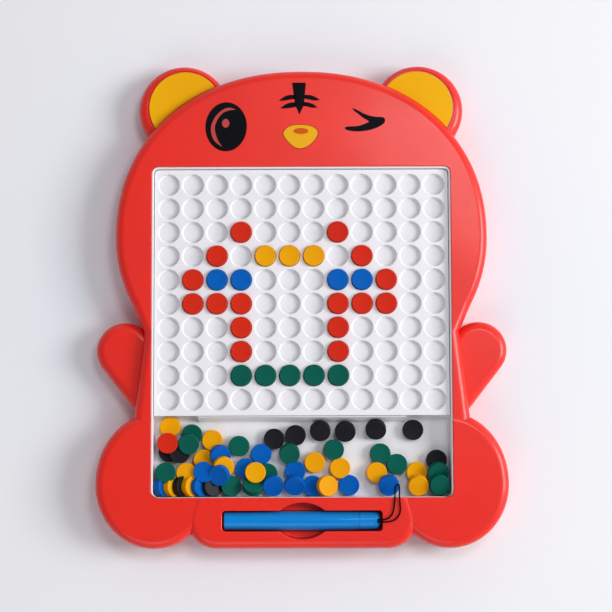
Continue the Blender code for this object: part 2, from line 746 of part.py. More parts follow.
def make_pan(materials):
    """The white pan with its flange, rim, step and ramp, then what lies in and under it."""
    outer = MOUTH_HALF_WIDTH + PAN_WALL
    pan = add_object(
        "tray_pan",
        block(
            -outer,
            outer,
            MOUTH_BOTTOM - PAN_WALL,
            MOUTH_TOP + PAN_WALL,
            TRAY_UNDERSIDE,
            FLANGE_TOP - STAGGER,
            MOUTH_CORNER + PAN_WALL,
        ),
        materials["pan_white"],
    )
    flange = block(
        -WINDOW_HALF_WIDTH - FLANGE_REACH,
        WINDOW_HALF_WIDTH + FLANGE_REACH,
        MOUTH_BOTTOM - PAN_WALL - STAGGER,
        WINDOW_TOP + FLANGE_REACH,
        FLANGE_TOP - FLANGE_THICKNESS,
        FLANGE_TOP,
        WINDOW_CORNER + FLANGE_REACH,
    )
    combine(pan, add_cutter("pan_flange", flange), "UNION")
    rim = block(
        -WINDOW_HALF_WIDTH + CLEAR,
        WINDOW_HALF_WIDTH - CLEAR,
        WINDOW_BOTTOM + CLEAR,
        WINDOW_TOP - CLEAR,
        FLANGE_TOP - FLANGE_THICKNESS / 2,
        RIM_TOP,
        WINDOW_CORNER - CLEAR,
    )
    combine(pan, add_cutter("pan_rim", rim), "UNION")

    under = block(
        -outer - OVERRUN,
        outer + OVERRUN,
        STEP_Y + PAN_WALL,
        MOUTH_TOP + PAN_WALL + OVERRUN,
        TRAY_UNDERSIDE - OVERRUN,
        BOARD_SHELF - PAN_WALL,
    )
    combine(pan, add_cutter("pan_under", under), "DIFFERENCE")
    cuts = {
        "tray_room": (MOUTH_BOTTOM, STEP_Y, TRAY_FLOOR),
        "board_room": (STEP_Y - WINDOW_CORNER - MOUTH_CORNER, MOUTH_TOP, BOARD_SHEET_TOP),
        "sheet_room": (STEP_Y + PAN_WALL, MOUTH_TOP - STAGGER, BOARD_SHELF),
    }
    for name, (bottom, top, low) in cuts.items():
        half = MOUTH_HALF_WIDTH - STAGGER * list(cuts).index(name)
        corner = MOUTH_CORNER if name != "sheet_room" else 0
        if name == "tray_room":
            room = tray_room(half, bottom, top, low)
        else:
            room = block(-half, half, bottom, top, low, TORSO_HEIGHT + OVERRUN, corner)
        combine(pan, add_cutter(name, room), "DIFFERENCE")

    ramp = bmesh.new()
    ramp_top = GRID_TOP - CLEAR
    root = PAN_WALL / 2
    profile = (
        (STEP_Y + root, TRAY_UNDERSIDE + root),
        (STEP_Y - RAMP_RUN, TRAY_UNDERSIDE + root),
        (STEP_Y - RAMP_RUN, TRAY_FLOOR + root),
        (STEP_Y - CLEAR, ramp_top),
        (STEP_Y - CLEAR, BOARD_SHEET_TOP - CLEAR),
        (STEP_Y + root, BOARD_SHEET_TOP - CLEAR),
    )
    side = ramp.faces.new([ramp.verts.new((-RAMP_HALF_WIDTH, y, z)) for y, z in profile])
    far = bmesh.ops.extrude_face_region(ramp, geom=[side])["geom"]
    moved = [item for item in far if isinstance(item, bmesh.types.BMVert)]
    bmesh.ops.translate(ramp, verts=moved, vec=(2 * RAMP_HALF_WIDTH, 0, 0))
    combine(pan, add_cutter("pan_ramp", ramp), "UNION")

    make_sheets(materials)
    make_grid(materials)


def tray_room(half, bottom, top, low):
    """The tray's hollow: round at the bottom corners, square where it meets the board."""
    bm = bmesh.new()
    rounded = box_outline(-half, half, bottom, top, MOUTH_CORNER)
    outline = [point for point in rounded if point[1] < (bottom + top) / 2]
    outline += [(half, top), (-half, top)]
    extrude_outline(bm, outline, low, TORSO_HEIGHT + OVERRUN)
    return bm


def make_sheets(materials):
    """The magnet sheet under the cells and the one under the tray's floor."""
    half = MOUTH_HALF_WIDTH - CLEAR - STAGGER * 2
    low = BOARD_SHELF + CLEAR
    bottom = STEP_Y + PAN_WALL + CLEAR
    top = MOUTH_TOP - CLEAR - STAGGER
    board = block(-half, half, bottom, top, low, BOARD_SHEET_TOP)
    add_object("board_magnet_sheet", board, materials["sheet_grey"])
    tray = block(
        -half,
        half,
        MOUTH_BOTTOM + PAN_WALL,
        STEP_Y - PAN_WALL,
        TRAY_SHEET_UNDERSIDE,
        TRAY_SHEET_TOP,
    )
    add_object("tray_magnet_sheet", tray, materials["magnet_brown"])


def cell_place(column, row):
    """The middle of a cell, counted from 1 at the upper left."""
    return FIRST_COLUMN_X + (column - 1) * PITCH_ACROSS, TOP_ROW_Y - (row - 1) * PITCH_ALONG


def make_grid(materials):
    """The plate of round cells that lies over the magnet sheet."""
    half = MOUTH_HALF_WIDTH - CLEAR - STAGGER
    outline = box_outline(-half, half, STEP_Y, MOUTH_TOP - CLEAR, MOUTH_CORNER)
    upper = [point for point in outline if point[1] > (STEP_Y + MOUTH_TOP) / 2]
    plate = bmesh.new()
    extrude_outline(plate, upper + [(-half, STEP_Y), (half, STEP_Y)], GRID_UNDERSIDE, GRID_TOP)
    grid = add_object("cell_grid", plate, materials["pan_white"])
    cells = bmesh.new()
    cell_low = GRID_UNDERSIDE - OVERRUN
    for row in range(1, ROWS + 1):
        for column in range(1, COLUMNS + 1):
            x, y = cell_place(column, row)
            add_round(cells, x, y, CELL_CORNER_RADIUS, cell_low, GRID_TOP + OVERRUN, DISC_SIDES)
    combine(grid, add_cutter("cells", cells), "DIFFERENCE")


def make_board_discs(materials):
    """The discs that stand in the cells, each its own piece."""
    low = BOARD_SHEET_TOP + CLEAR
    for row, discs in PICTURE.items():
        for column, colour in discs.items():
            bm = bmesh.new()
            add_round(bm, 0, 0, DISC_RADIUS, 0, DISC_THICKNESS, DISC_SIDES)
            obj = add_object(f"disc_row{row}_column{column}", bm, materials[colour])
            x, y = cell_place(column, row)
            obj.location = (x, y, low)


class Placed(NamedTuple):
    """A loose disc where it lies: its middle, and the turn from lying flat."""

    centre: Vector
    turn: Quaternion


def resting_place(disc):
    """Where a loose disc lies, with its low side as many discs above the floor as its lift."""
    tilt = math.radians(disc.tilt)
    toward = math.radians(disc.toward)
    half_height = DISC_RADIUS * math.sin(tilt) + DISC_THICKNESS / 2 * math.cos(tilt)
    centre = Vector(
        (
            disc.across_share * MOUTH_HALF_WIDTH,
            WINDOW_BOTTOM + disc.along_share * TRAY_DEPTH,
            TRAY_FLOOR + CLEAR + disc.lift_share * DISC_THICKNESS + half_height,
        )
    )
    return Placed(centre, Quaternion((-math.sin(toward), math.cos(toward), 0), tilt))


def make_loose_discs(materials):
    """The discs in the tray: single ones, and heaps of touching ones each joined into one piece."""
    for name, discs in HEAP_SHARES.items():
        pieces = []
        for index, disc in enumerate(discs):
            bm = bmesh.new()
            add_round(bm, 0, 0, DISC_RADIUS, -DISC_THICKNESS / 2, DISC_THICKNESS / 2, DISC_SIDES)
            if pieces:
                piece = add_cutter(f"{name}_{index}", bm)
            else:
                piece = add_object(name, bm, materials[disc.colour])
            place = resting_place(disc)
            piece.location = place.centre
            piece.rotation_mode = "QUATERNION"
            piece.rotation_quaternion = place.turn @ Quaternion((0, 0, 1), index * DISC_TURN)
            pieces.append(piece)
        for piece in pieces[1:]:
            combine(pieces[0], piece, "UNION")


def make_pen(materials):
    """The pen: a hollow barrel with a magnet in its flat end and a round cap on the other."""
    bore = MAGNET_RADIUS + CLEAR
    inner = PEN_RADIUS - PEN_WAIST - PEN_WALL
    wall_at = -PEN_END + MAGNET_LENGTH + CLEAR
    barrel = (
        (bore, wall_at),
        (bore, -PEN_END),
        (PEN_RADIUS - PEN_WAIST - PEN_TIP_CHAMFER, -PEN_END),
        (PEN_RADIUS - PEN_WAIST, -PEN_END + PEN_TIP_CHAMFER),
        (PEN_RADIUS, -SCOOP_HALF_LENGTH),
        (PEN_RADIUS, SCOOP_HALF_LENGTH),
        (PEN_RADIUS - PEN_WAIST, CAP_START - CLEAR),
        (inner, CAP_START - CLEAR),
        (inner, wall_at + PEN_WALL),
        (0, wall_at + PEN_WALL),
    )
    lay_pen_piece("pen_barrel", ((0, wall_at),) + barrel, materials["pen_blue"])
    lay_pen_piece(
        "pen_magnet",
        (
            (0, -PEN_END + CLEAR),
            (MAGNET_RADIUS, -PEN_END + CLEAR),
            (MAGNET_RADIUS, wall_at - CLEAR),
            (0, wall_at - CLEAR),
        ),
        materials["steel"],
    )
    shoulder = PEN_RADIUS - PEN_WAIST
    cap = [
        (0, CAP_START - SPIGOT_LENGTH),
        (inner - CLEAR, CAP_START - SPIGOT_LENGTH),
        (inner - CLEAR, CAP_START),
        (shoulder, CAP_START),
    ]
    for step in range(CAP_STEPS + 1):
        angle = math.pi / 2 * step / CAP_STEPS
        radius = shoulder - CAP_ROUND + CAP_ROUND * math.cos(angle)
        cap.append((radius, PEN_END - CAP_ROUND + CAP_ROUND * math.sin(angle)))
    cap.append((0, PEN_END))
    tail_cap = lay_pen_piece("pen_tail_cap", cap, materials["pen_blue"])
    combine(tail_cap, make_slot_cutter(), "DIFFERENCE")
    make_lanyard(materials)


def lay_pen_piece(name, profile, material):
    """Turns a profile along the pen and lays it in the bay, tail to the right."""
    obj = add_object(name, turned(profile, PEN_SIDES), material)
    obj.rotation_euler = (0, math.pi / 2, 0)
    obj.location = (0, PEN_Y, PEN_AXIS)
    return obj


def make_slot_cutter():
    """The slot through the tail cap's round shoulder, square to the surface."""
    bm = bmesh.new()
    width, length = SLOT_HALF_WIDTH, SLOT_HALF_LENGTH
    outline = box_outline(-width, width, -length, length, SLOT_CORNER)
    extrude_outline(bm, outline, CAP_ROUND - SLOT_DEPTH, CAP_ROUND + OVERRUN)
    slot = add_cutter("cord_slot", bm)
    slot.rotation_euler = (0, SLOT_LEAN, 0)
    slot.location = (PEN_END - CAP_ROUND, PEN_Y, PEN_AXIS + PEN_RADIUS - PEN_WAIST - CAP_ROUND)
    return slot


def smooth_route(points, step):
    """Points at even steps along a smooth curve through a route's own points."""
    padded = [points[0] * 2 - points[1], *points, points[-1] * 2 - points[-2]]
    fine = []
    for a, b, c, d in zip(padded, padded[1:], padded[2:], padded[3:]):
        for i in range(ROUTE_DIVISIONS):
            t = i / ROUTE_DIVISIONS
            bend = a * (-t + 2 * t**2 - t**3) + b * (2 - 5 * t**2 + 3 * t**3)
            fine.append((bend + c * (t + 4 * t**2 - 3 * t**3) + d * (t**3 - t**2)) / 2)
    fine.append(points[-1])
    lengths = [0]
    for before, after in zip(fine, fine[1:]):
        lengths.append(lengths[-1] + (after - before).length)
    count = max(2, round(lengths[-1] / step))
    route = []
    at = 0
    for i in range(count + 1):
        goal = lengths[-1] * i / count
        while at < len(lengths) - 2 and lengths[at + 1] < goal:
            at += 1
        span = lengths[at + 1] - lengths[at]
        route.append(fine[at].lerp(fine[at + 1], (goal - lengths[at]) / span))
    return route


# The cord's route, a loop from the pen's tail over the bar, measured from the tail's end:
# to the right, towards the head, and up from the pen's axis
CORD_ROUTE = (
    (-0.0019, 0.00065, 0.00450),
    (-0.0012, 0.00065, 0.00551),
    (-0.0005, 0.00065, 0.00655),
    (0.0001, 0.00065, 0.00711),
    (0.0008, 0.00066, 0.00745),
    (0.0016, 0.00070, 0.00753),
    (0.0027, 0.00088, 0.00740),
    (0.0039, 0.00130, 0.00722),
    (0.0054, 0.00220, 0.00712),
    (0.0069, 0.00390, 0.00712),
    (0.0078, 0.00640, 0.00712),
    (0.0083, 0.00940, 0.00712),
    (0.0086, 0.01240, 0.00715),
    (0.0088, 0.01510, 0.00700),
    (0.0089, 0.01720, 0.00555),
    (0.0089, 0.01924, 0.00414),
    (0.0090, 0.02015, 0.00387),
    (0.0093, 0.02105, 0.00393),
    (0.0097, 0.02181, 0.00430),
    (0.0103, 0.02230, 0.00493),
    (0.0108, 0.02247, 0.00573),
    (0.0112, 0.02227, 0.00656),
    (0.0115, 0.02174, 0.00731),
    (0.0115, 0.02096, 0.00786),
    (0.0115, 0.01934, 0.00860),
    (0.0115, 0.01560, 0.00820),
    (0.0117, 0.01260, 0.00740),
    (0.0120, 0.00940, 0.00712),
    (0.0121, 0.00620, 0.00712),
    (0.0112, 0.00350, 0.00712),
    (0.0095, 0.00130, 0.00712),
    (0.0072, 0.00000, 0.00712),
    (0.0049, -0.00055, 0.00716),
    (0.0027, -0.00065, 0.00740),
    (0.0016, -0.00065, 0.00753),
    (0.0008, -0.00065, 0.00745),
    (0.0001, -0.00065, 0.00711),
    (-0.0005, -0.00065, 0.00655),
    (-0.0012, -0.00065, 0.00551),
    (-0.0019, -0.00065, 0.00450),
)


def make_lanyard(materials):
    """The thin black cord: both ends go into the pen's tail."""
    route = smooth_route([Vector(point) for point in CORD_ROUTE], CORD_STEP)
    curve = bpy.data.curves.new("pen_lanyard", "CURVE")
    curve.dimensions = "3D"
    curve.bevel_depth = CORD_RADIUS
    curve.bevel_resolution = 2
    curve.use_fill_caps = True
    line = curve.splines.new("POLY")
    line.points.add(len(route) - 1)
    for point, place in zip(line.points, route):
        point.co = (*place, 1)
    curve.materials.append(materials["cord_black"])
    cord = bpy.data.objects.new("pen_lanyard", curve)
    cord.location = (PEN_END, PEN_Y, PEN_AXIS)
    bpy.context.scene.collection.objects.link(cord)


def main():
    """Builds the whole board."""
    clear_scene()
    materials = make_materials()
    make_case(materials)
    make_pan(materials)
    make_board_discs(materials)
    make_loose_discs(materials)
    make_pen(materials)
    make_screws(materials)


main()
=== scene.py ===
"""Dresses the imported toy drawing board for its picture.

The board lies on its back on a pale floor. X runs to the right, Y to the top of the head and
Z out of the face, in metres. Every piece that shows is rebuilt here in finer form over its
plain solid, and takes a procedural finish.
"""

import logging
import math
from collections.abc import Callable, Iterable, Sequence
from dataclasses import dataclass
from enum import Enum

import bmesh
import bpy
from mathutils import Matrix, Quaternion, Vector


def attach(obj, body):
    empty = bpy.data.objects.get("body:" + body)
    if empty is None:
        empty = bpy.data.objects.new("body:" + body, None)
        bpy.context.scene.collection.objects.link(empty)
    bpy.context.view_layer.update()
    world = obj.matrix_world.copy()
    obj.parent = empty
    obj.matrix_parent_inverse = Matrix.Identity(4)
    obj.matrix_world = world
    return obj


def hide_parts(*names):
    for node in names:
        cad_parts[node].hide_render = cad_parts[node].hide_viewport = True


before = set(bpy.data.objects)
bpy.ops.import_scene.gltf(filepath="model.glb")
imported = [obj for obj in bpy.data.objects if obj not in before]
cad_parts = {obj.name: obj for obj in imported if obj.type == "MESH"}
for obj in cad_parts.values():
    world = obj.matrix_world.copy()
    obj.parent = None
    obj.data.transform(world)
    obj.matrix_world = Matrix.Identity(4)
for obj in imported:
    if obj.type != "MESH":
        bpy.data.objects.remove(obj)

LOG = logging.getLogger("drawing_board")
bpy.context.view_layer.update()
MM = 0.001
CLEAR = 0.3 * MM
OVERRUN = 2 * MM
WELD = 1e-6
FINE = 96
SIDES = ((-1, "left"), (1, "right"))

Point = tuple[float, float]
Outline = Callable[[float], list[Point]]
Profile = list[Point]
Colour = tuple[float, float, float]
Ring = list[bmesh.types.BMVert]


# Finishes


class Links:
    """Adds nodes to one tree and joins their sockets."""

    def __init__(self, tree: bpy.types.NodeTree) -> None:
        """Takes the node tree that is being filled."""
        self.tree = tree

    def node(self, kind: str, **inputs: object) -> bpy.types.Node:
        """Adds a node.

        Args:
            kind: The node's type, without its "ShaderNode" start.
            inputs: Values or output sockets by input name, with spaces as underscores, or a
                property of the node in lower case.

        Returns:
            The new node.
        """
        made = self.tree.nodes.new("ShaderNode" + kind)
        for name, value in inputs.items():
            if name.islower():
                setattr(made, name, value)
                continue
            self.feed(made, name.replace("_", " "), value)
        return made

    def feed(self, node: bpy.types.Node, name: str | int, value: object) -> None:
        """Links a socket to an input, or sets the input's value."""
        socket = node.inputs[name]
        if isinstance(value, bpy.types.NodeSocket):
            self.tree.links.new(value, socket)
        else:
            socket.default_value = value

    def maths(self, operation: str, *values: object) -> bpy.types.NodeSocket:
        """Adds a Math node over two or three values or sockets and returns its output."""
        made = self.tree.nodes.new("ShaderNodeMath")
        made.operation = operation
        for index, value in enumerate(values):
            self.feed(made, index, value)
        return made.outputs[0]

    def spread(
        self, value: object, low: float, high: float, to_low: float = 0, to_high: float = 1
    ) -> bpy.types.NodeSocket:
        """Maps a range of values to another, clamped, and returns the output."""
        made = self.node("MapRange", Value=value, From_Min=low, From_Max=high, To_Min=to_low, To_Max=to_high)
        return made.outputs["Result"]

    def blend(self, factor: object, first: object, second: object) -> bpy.types.NodeSocket:
        """Mixes two colours and returns the output."""
        made = self.tree.nodes.new("ShaderNodeMix")
        made.data_type = "RGBA"
        for index, value in ((0, factor), (6, first), (7, second)):
            self.feed(made, index, value)
        return made.outputs[2]


class Effect:
    """A shared surface effect: a node group with named inputs and outputs, built once."""

    name = "effect"
    inputs: tuple[tuple[str, str, object], ...] = ()
    outputs: tuple[tuple[str, str], ...] = ()

    @classmethod
    def group(cls) -> bpy.types.NodeTree:
        """Returns the effect's node group, built the first time it is asked for."""
        tree = bpy.data.node_groups.get(cls.name)
        if tree:
            return tree
        tree = bpy.data.node_groups.new(cls.name, "ShaderNodeTree")
        for label, kind, value in cls.inputs:
            socket = tree.interface.new_socket(label, in_out="INPUT", socket_type=kind)
            socket.default_value = value
        for label, kind in cls.outputs:
            tree.interface.new_socket(label, in_out="OUTPUT", socket_type=kind)
        given = tree.nodes.new("NodeGroupInput")
        result = tree.nodes.new("NodeGroupOutput")
        made = cls.fill(Links(tree), given)
        for label, _ in cls.outputs:
            tree.links.new(made[label], result.inputs[label])
        return tree

    @classmethod
    def fill(cls, links: Links, given: bpy.types.Node) -> dict[str, bpy.types.NodeSocket]:
        """Builds the nodes between the group's inputs and outputs, which it returns by name."""
        raise NotImplementedError


class MouldedSkin(Effect):
    """Injection-moulded plastic: fine grain, slow colour drift, hairline scuffs, and edges lightened partly
    by rubbing and partly as painted highlight.
    """

    name = "moulded_skin"
    inputs = (
        ("Colour", "NodeSocketColor", (0.5, 0.5, 0.5, 1)),
        ("Shade", "NodeSocketColor", (0.4, 0.4, 0.4, 1)),
        ("Wear and Highlight Colour", "NodeSocketColor", (0.6, 0.6, 0.6, 1)),
        ("Roughness", "NodeSocketFloat", 0.4),
        ("Grain", "NodeSocketFloat", 900.0),
        ("Drift", "NodeSocketFloat", 20.0),
        ("Edge Rubbing and Highlight", "NodeSocketFloat", 0.3),
        ("Scuff", "NodeSocketFloat", 0.3),
    )
    outputs = (
        ("Colour", "NodeSocketColor"),
        ("Roughness", "NodeSocketFloat"),
        ("Height", "NodeSocketFloat"),
    )

    @classmethod
    def fill(cls, links: Links, given: bpy.types.Node) -> dict[str, bpy.types.NodeSocket]:
        """Builds the effect; see the class's inputs and outputs."""
        place = links.node("TexCoord").outputs["Object"]
        drift = links.node("TexNoise", Vector=place, Scale=given.outputs["Drift"], Detail=3.0, Roughness=0.55)
        tone = links.spread(drift.outputs["Fac"], 0.35, 0.7)
        base = links.blend(tone, given.outputs["Colour"], given.outputs["Shade"])
        grain = links.node("TexNoise", Vector=place, Scale=given.outputs["Grain"], Detail=2.0, Roughness=0.6)
        stretched = links.node("Mapping", Vector=place, Scale=(90.0, 1500.0, 600.0), Rotation=(0.0, 0.0, 0.6))
        hair = links.node("TexNoise", Vector=stretched.outputs[0], Scale=1.0, Detail=4.0, Roughness=0.7)
        scuff = links.maths("MULTIPLY", links.spread(hair.outputs["Fac"], 0.64, 0.74), given.outputs["Scuff"])
        # Convex edges are lightened towards the scuff colour, partly as rubbing and partly as a painted
        # highlight.
        edge = links.spread(links.node("NewGeometry").outputs["Pointiness"], 0.52, 0.62)
        patchy = links.maths("MULTIPLY", edge, links.spread(drift.outputs["Fac"], 0.3, 0.6, 0.4, 1.0))
        rubbing_and_highlight = links.maths("MULTIPLY", patchy, given.outputs["Edge Rubbing and Highlight"])
        marks = links.maths("MAXIMUM", rubbing_and_highlight, links.maths("MULTIPLY", scuff, 0.35))
        colour = links.blend(marks, base, given.outputs["Wear and Highlight Colour"])
        uneven = links.spread(grain.outputs["Fac"], 0.3, 0.7, -0.04, 0.04)
        rough = links.maths("ADD", given.outputs["Roughness"], uneven)
        rough = links.maths("ADD", rough, links.maths("MULTIPLY", tone, 0.06))
        rough = links.maths("ADD", rough, links.maths("MULTIPLY", scuff, 0.25))
        height = links.maths("SUBTRACT", grain.outputs["Fac"], links.maths("MULTIPLY", scuff, 0.6))
        return {"Colour": colour, "Roughness": rough, "Height": height}


class Leatherette(Effect):
    """The vinyl face of a magnet sheet: a pebbled skin with faint roller streaks."""

    name = "leatherette"
    inputs = (
        ("Colour", "NodeSocketColor", (0.7, 0.7, 0.7, 1)),
        ("Shade", "NodeSocketColor", (0.6, 0.6, 0.6, 1)),
        ("Pebble", "NodeSocketFloat", 1400.0),
    )
    outputs = (("Colour", "NodeSocketColor"), ("Roughness", "NodeSocketFloat"), ("Height", "NodeSocketFloat"))

    @classmethod
    def fill(cls, links: Links, given: bpy.types.Node) -> dict[str, bpy.types.NodeSocket]:
        """Builds the effect; see the class's inputs and outputs."""
        place = links.node("TexCoord").outputs["Object"]
        pebble = links.node("TexVoronoi", Vector=place, Scale=given.outputs["Pebble"])
        rolled = links.node("Mapping", Vector=place, Scale=(6.0, 240.0, 6.0))
        streak = links.node("TexNoise", Vector=rolled.outputs[0], Scale=1.0, Detail=3.0)
        cloud = links.node("TexNoise", Vector=place, Scale=60.0, Detail=4.0)
        mask = links.maths("MULTIPLY", links.spread(streak.outputs["Fac"], 0.4, 0.7), 0.5)
        mask = links.maths("ADD", mask, links.spread(cloud.outputs["Fac"], 0.4, 0.75, 0.0, 0.5))
        colour = links.blend(mask, given.outputs["Colour"], given.outputs["Shade"])
        rough = links.spread(pebble.outputs["Distance"], 0.0, 0.7, 0.42, 0.58)
        return {"Colour": colour, "Roughness": rough, "Height": pebble.outputs["Distance"]}


class Braid(Effect):
    """A plaited cord, on the piece's own UV map: strands that cross over and under."""

    name = "braid"
    inputs = (
        ("Colour", "NodeSocketColor", (0.02, 0.02, 0.02, 1)),
        ("Shade", "NodeSocketColor", (0.01, 0.01, 0.01, 1)),
        ("Strands", "NodeSocketFloat", 4.0),
        ("Plaits", "NodeSocketFloat", 90.0),
    )
    outputs = (("Colour", "NodeSocketColor"), ("Height", "NodeSocketFloat"))

    @classmethod
    def fill(cls, links: Links, given: bpy.types.Node) -> dict[str, bpy.types.NodeSocket]:
        """Builds the effect; see the class's inputs and outputs."""
        map_ = links.node("UVMap", uv_map="UVMap").outputs[0]
        parts = links.node("SeparateXYZ", Vector=map_)
        around = links.maths("MULTIPLY", parts.outputs[0], given.outputs["Strands"])
        along = links.maths("MULTIPLY", parts.outputs[1], given.outputs["Plaits"])
        crossed = []
        for way in ("ADD", "SUBTRACT"):
            turn = links.maths("MULTIPLY", links.maths(way, around, along), 2 * math.pi)
            crossed.append(links.maths("ABSOLUTE", links.maths("SINE", turn)))
        height = links.maths("MAXIMUM", *crossed)
        # Painted shade: the cord is darker where the braid is low, in the grooves between its strands.
        colour = links.blend(links.spread(height, 0.5, 0.95), given.outputs["Shade"], given.outputs["Colour"])
        return {"Colour": colour, "Height": height}


class SpunMetal(Effect):
    """Turned and plated steel: fine machining lines and a dulled, faintly spotted plating."""

    name = "spun_metal"
    inputs = (
        ("Colour", "NodeSocketColor", (0.6, 0.6, 0.6, 1)),
        ("Shade", "NodeSocketColor", (0.4, 0.4, 0.4, 1)),
        ("Roughness", "NodeSocketFloat", 0.3),
    )
    outputs = (("Colour", "NodeSocketColor"), ("Roughness", "NodeSocketFloat"), ("Height", "NodeSocketFloat"))

    @classmethod
    def fill(cls, links: Links, given: bpy.types.Node) -> dict[str, bpy.types.NodeSocket]:
        """Builds the effect; see the class's inputs and outputs."""
        place = links.node("TexCoord").outputs["Object"]
        fine = links.node("TexNoise", Vector=place, Scale=2600.0, Detail=2.0)
        spots = links.node("TexNoise", Vector=place, Scale=700.0, Detail=4.0)
        mask = links.spread(spots.outputs["Fac"], 0.45, 0.7)
        colour = links.blend(mask, given.outputs["Colour"], given.outputs["Shade"])
        rough = links.maths("ADD", given.outputs["Roughness"], links.maths("MULTIPLY", mask, 0.2))
        return {"Colour": colour, "Roughness": rough, "Height": fine.outputs["Fac"]}


@dataclass(frozen=True)
class Finish:
    """A surface finish: which effect it takes, with its own values, and the shader's settings."""

    name: str
    slot: str
    effect: type[Effect]
    values: tuple[tuple[str, object], ...]
    bump: float
    depth: float
    metallic: float = 0.0
    roughness: float = 0.5
    specular: float = 0.5
    coat: float = 0.0

    def material(self) -> bpy.types.Material:
        """Returns this finish's material, built the first time it is asked for."""
        made = bpy.data.materials.get(self.name)
        if made:
            return made
        made = bpy.data.materials.new(self.name)
        made.use_nodes = True
        links = Links(made.node_tree)
        shader = made.node_tree.nodes["Principled BSDF"]
        shader.inputs["Metallic"].default_value = self.metallic
        shader.inputs["Roughness"].default_value = self.roughness
        shader.inputs["Specular IOR Level"].default_value = self.specular
        shader.inputs["Coat Weight"].default_value = self.coat
        shader.inputs["Coat Roughness"].default_value = 0.1
        surface = links.node("Group", node_tree=self.effect.group())
        for label, value in self.values:
            surface.inputs[label].default_value = value
        links.feed(shader, "Base Color", surface.outputs["Colour"])
        if "Roughness" in surface.outputs:
            links.feed(shader, "Roughness", surface.outputs["Roughness"])
        bump = links.node("Bump", Strength=self.bump, Distance=self.depth, Height=surface.outputs["Height"])
        links.feed(shader, "Normal", bump.outputs[0])
        return made


def moulded(
    name: str,
    slot: str,
    colour: Colour,
    shade: Colour,
    wear_and_highlight_colour: Colour,
    roughness: float,
    grain: float = 900.0,
    drift: float = 18.0,
    edge_rubbing_and_highlight: float = 0.3,
    scuff: float = 0.3,
    depth: float = 0.00003,
    specular: float = 0.4,
    coat: float = 0.0,
) -> Finish:
    """Returns a moulded plastic finish.

    Args:
        name: The material's name.
        slot: The record's material slot.
        colour: The main colour, in linear light.
        shade: The colour that it drifts towards.
        wear_and_highlight_colour: The colour of scuffs, and of edges, which it lightens partly as rubbing and
            partly as painted highlight.
        roughness: The roughness before grain and scuffs.
        grain: Grain marks per metre.
        drift: Colour patches per metre.
        edge_rubbing_and_highlight: How strongly edges are lightened, partly as rubbing and partly as painted
            highlight.
        scuff: How strongly scuffs show.
        depth: The grain's depth in metres.
        specular: The shader's specular level.
        coat: The weight of a clear gloss over it.

    Returns:
        The finish.
    """
    values = (
        ("Colour", (*colour, 1)),
        ("Shade", (*shade, 1)),
        ("Wear and Highlight Colour", (*wear_and_highlight_colour, 1)),
        ("Roughness", roughness),
        ("Grain", grain),
        ("Drift", drift),
        ("Edge Rubbing and Highlight", edge_rubbing_and_highlight),
        ("Scuff", scuff),
    )
    return Finish(name, slot, MouldedSkin, values, 0.35, depth, specular=specular, coat=coat)


def ink(
    name: str,
    slot: str,
    colour: Colour,
    shade: Colour,
    wear_and_highlight_colour: Colour,
    roughness: float = 0.4,
    specular: float = 0.06,
) -> Finish:
    """Returns a printed ink's finish, finer in grain than the plastic under it."""
    return moulded(f"ink_{name}", slot, colour, shade, wear_and_highlight_colour, roughness, grain=1600.0, specular=specular)


def disc_plastic(name: str, colour: Colour, shade: Colour, wear_and_highlight_colour: Colour, specular: float = 0.06) -> Finish:
    """Returns the finish of the discs of one colour."""
    return moulded(f"disc_{name}", name, colour, shade, wear_and_highlight_colour, 0.42, specular=specular)


CASE_PLASTIC = moulded(
    "case_plastic",
    "case_red",
    (0.85, 0.022, 0.010),
    (0.78, 0.018, 0.010),
    (0.88, 0.10, 0.06),
    0.33,
    edge_rubbing_and_highlight=0.35,
    coat=0.15,
)
PAN_PLASTIC = moulded(
    "pan_plastic", "pan_white", (0.85, 0.85, 0.87), (0.82, 0.82, 0.845), (0.91, 0.91, 0.92), 0.42, edge_rubbing_and_highlight=0.2
)
PAD_PLASTIC = moulded(
    "pad_plastic",
    "pad_yellow",
    (0.88, 0.46, 0.004),
    (0.83, 0.41, 0.004),
    (0.9, 0.5, 0.06),
    0.42,
    specular=0.06,
)
PEN_PLASTIC = moulded(
    "pen_plastic",
    "pen_blue",
    (0.001, 0.235, 0.67),
    (0.001, 0.215, 0.63),
    (0.03, 0.31, 0.74),
    0.24,
    edge_rubbing_and_highlight=0.3,
    specular=0.1,
    coat=0.35,
)
SHEET_VINYL = Finish(
    "sheet_vinyl",
    "sheet_grey",
    Leatherette,
    (("Colour", (0.80, 0.80, 0.83, 1)), ("Shade", (0.77, 0.77, 0.80, 1)), ("Pebble", 1400.0)),
    0.2,
    0.00003,
    specular=0.4,
)
MAGNET_RUBBER = Finish(
    "magnet_rubber",
    "magnet_brown",
    Leatherette,
    (("Colour", (0.06, 0.045, 0.04, 1)), ("Shade", (0.045, 0.035, 0.03, 1)), ("Pebble", 900.0)),
    0.3,
    0.00004,
    specular=0.3,
)
CORD_BRAID = Finish(
    "cord_braid",
    "cord_black",
    Braid,
    (
        ("Colour", (0.003, 0.003, 0.004, 1)),
        ("Shade", (0.0015, 0.0015, 0.002, 1)),
        ("Strands", 4.0),
        ("Plaits", 90.0),
    ),
    0.5,
    0.0001,
    roughness=0.7,
    specular=0.05,
)
PLATED_STEEL = Finish(
    "plated_steel",
    "steel",
    SpunMetal,
    (("Colour", (0.62, 0.62, 0.64, 1)), ("Shade", (0.45, 0.45, 0.47, 1)), ("Roughness", 0.28)),
    0.15,
    0.00001,
    metallic=1.0,
)
INK_BLACK = ink(
    "black", "black", (0.0035, 0.0035, 0.005), (0.005, 0.005, 0.007), (0.012, 0.012, 0.015), 0.38, 0.03
)
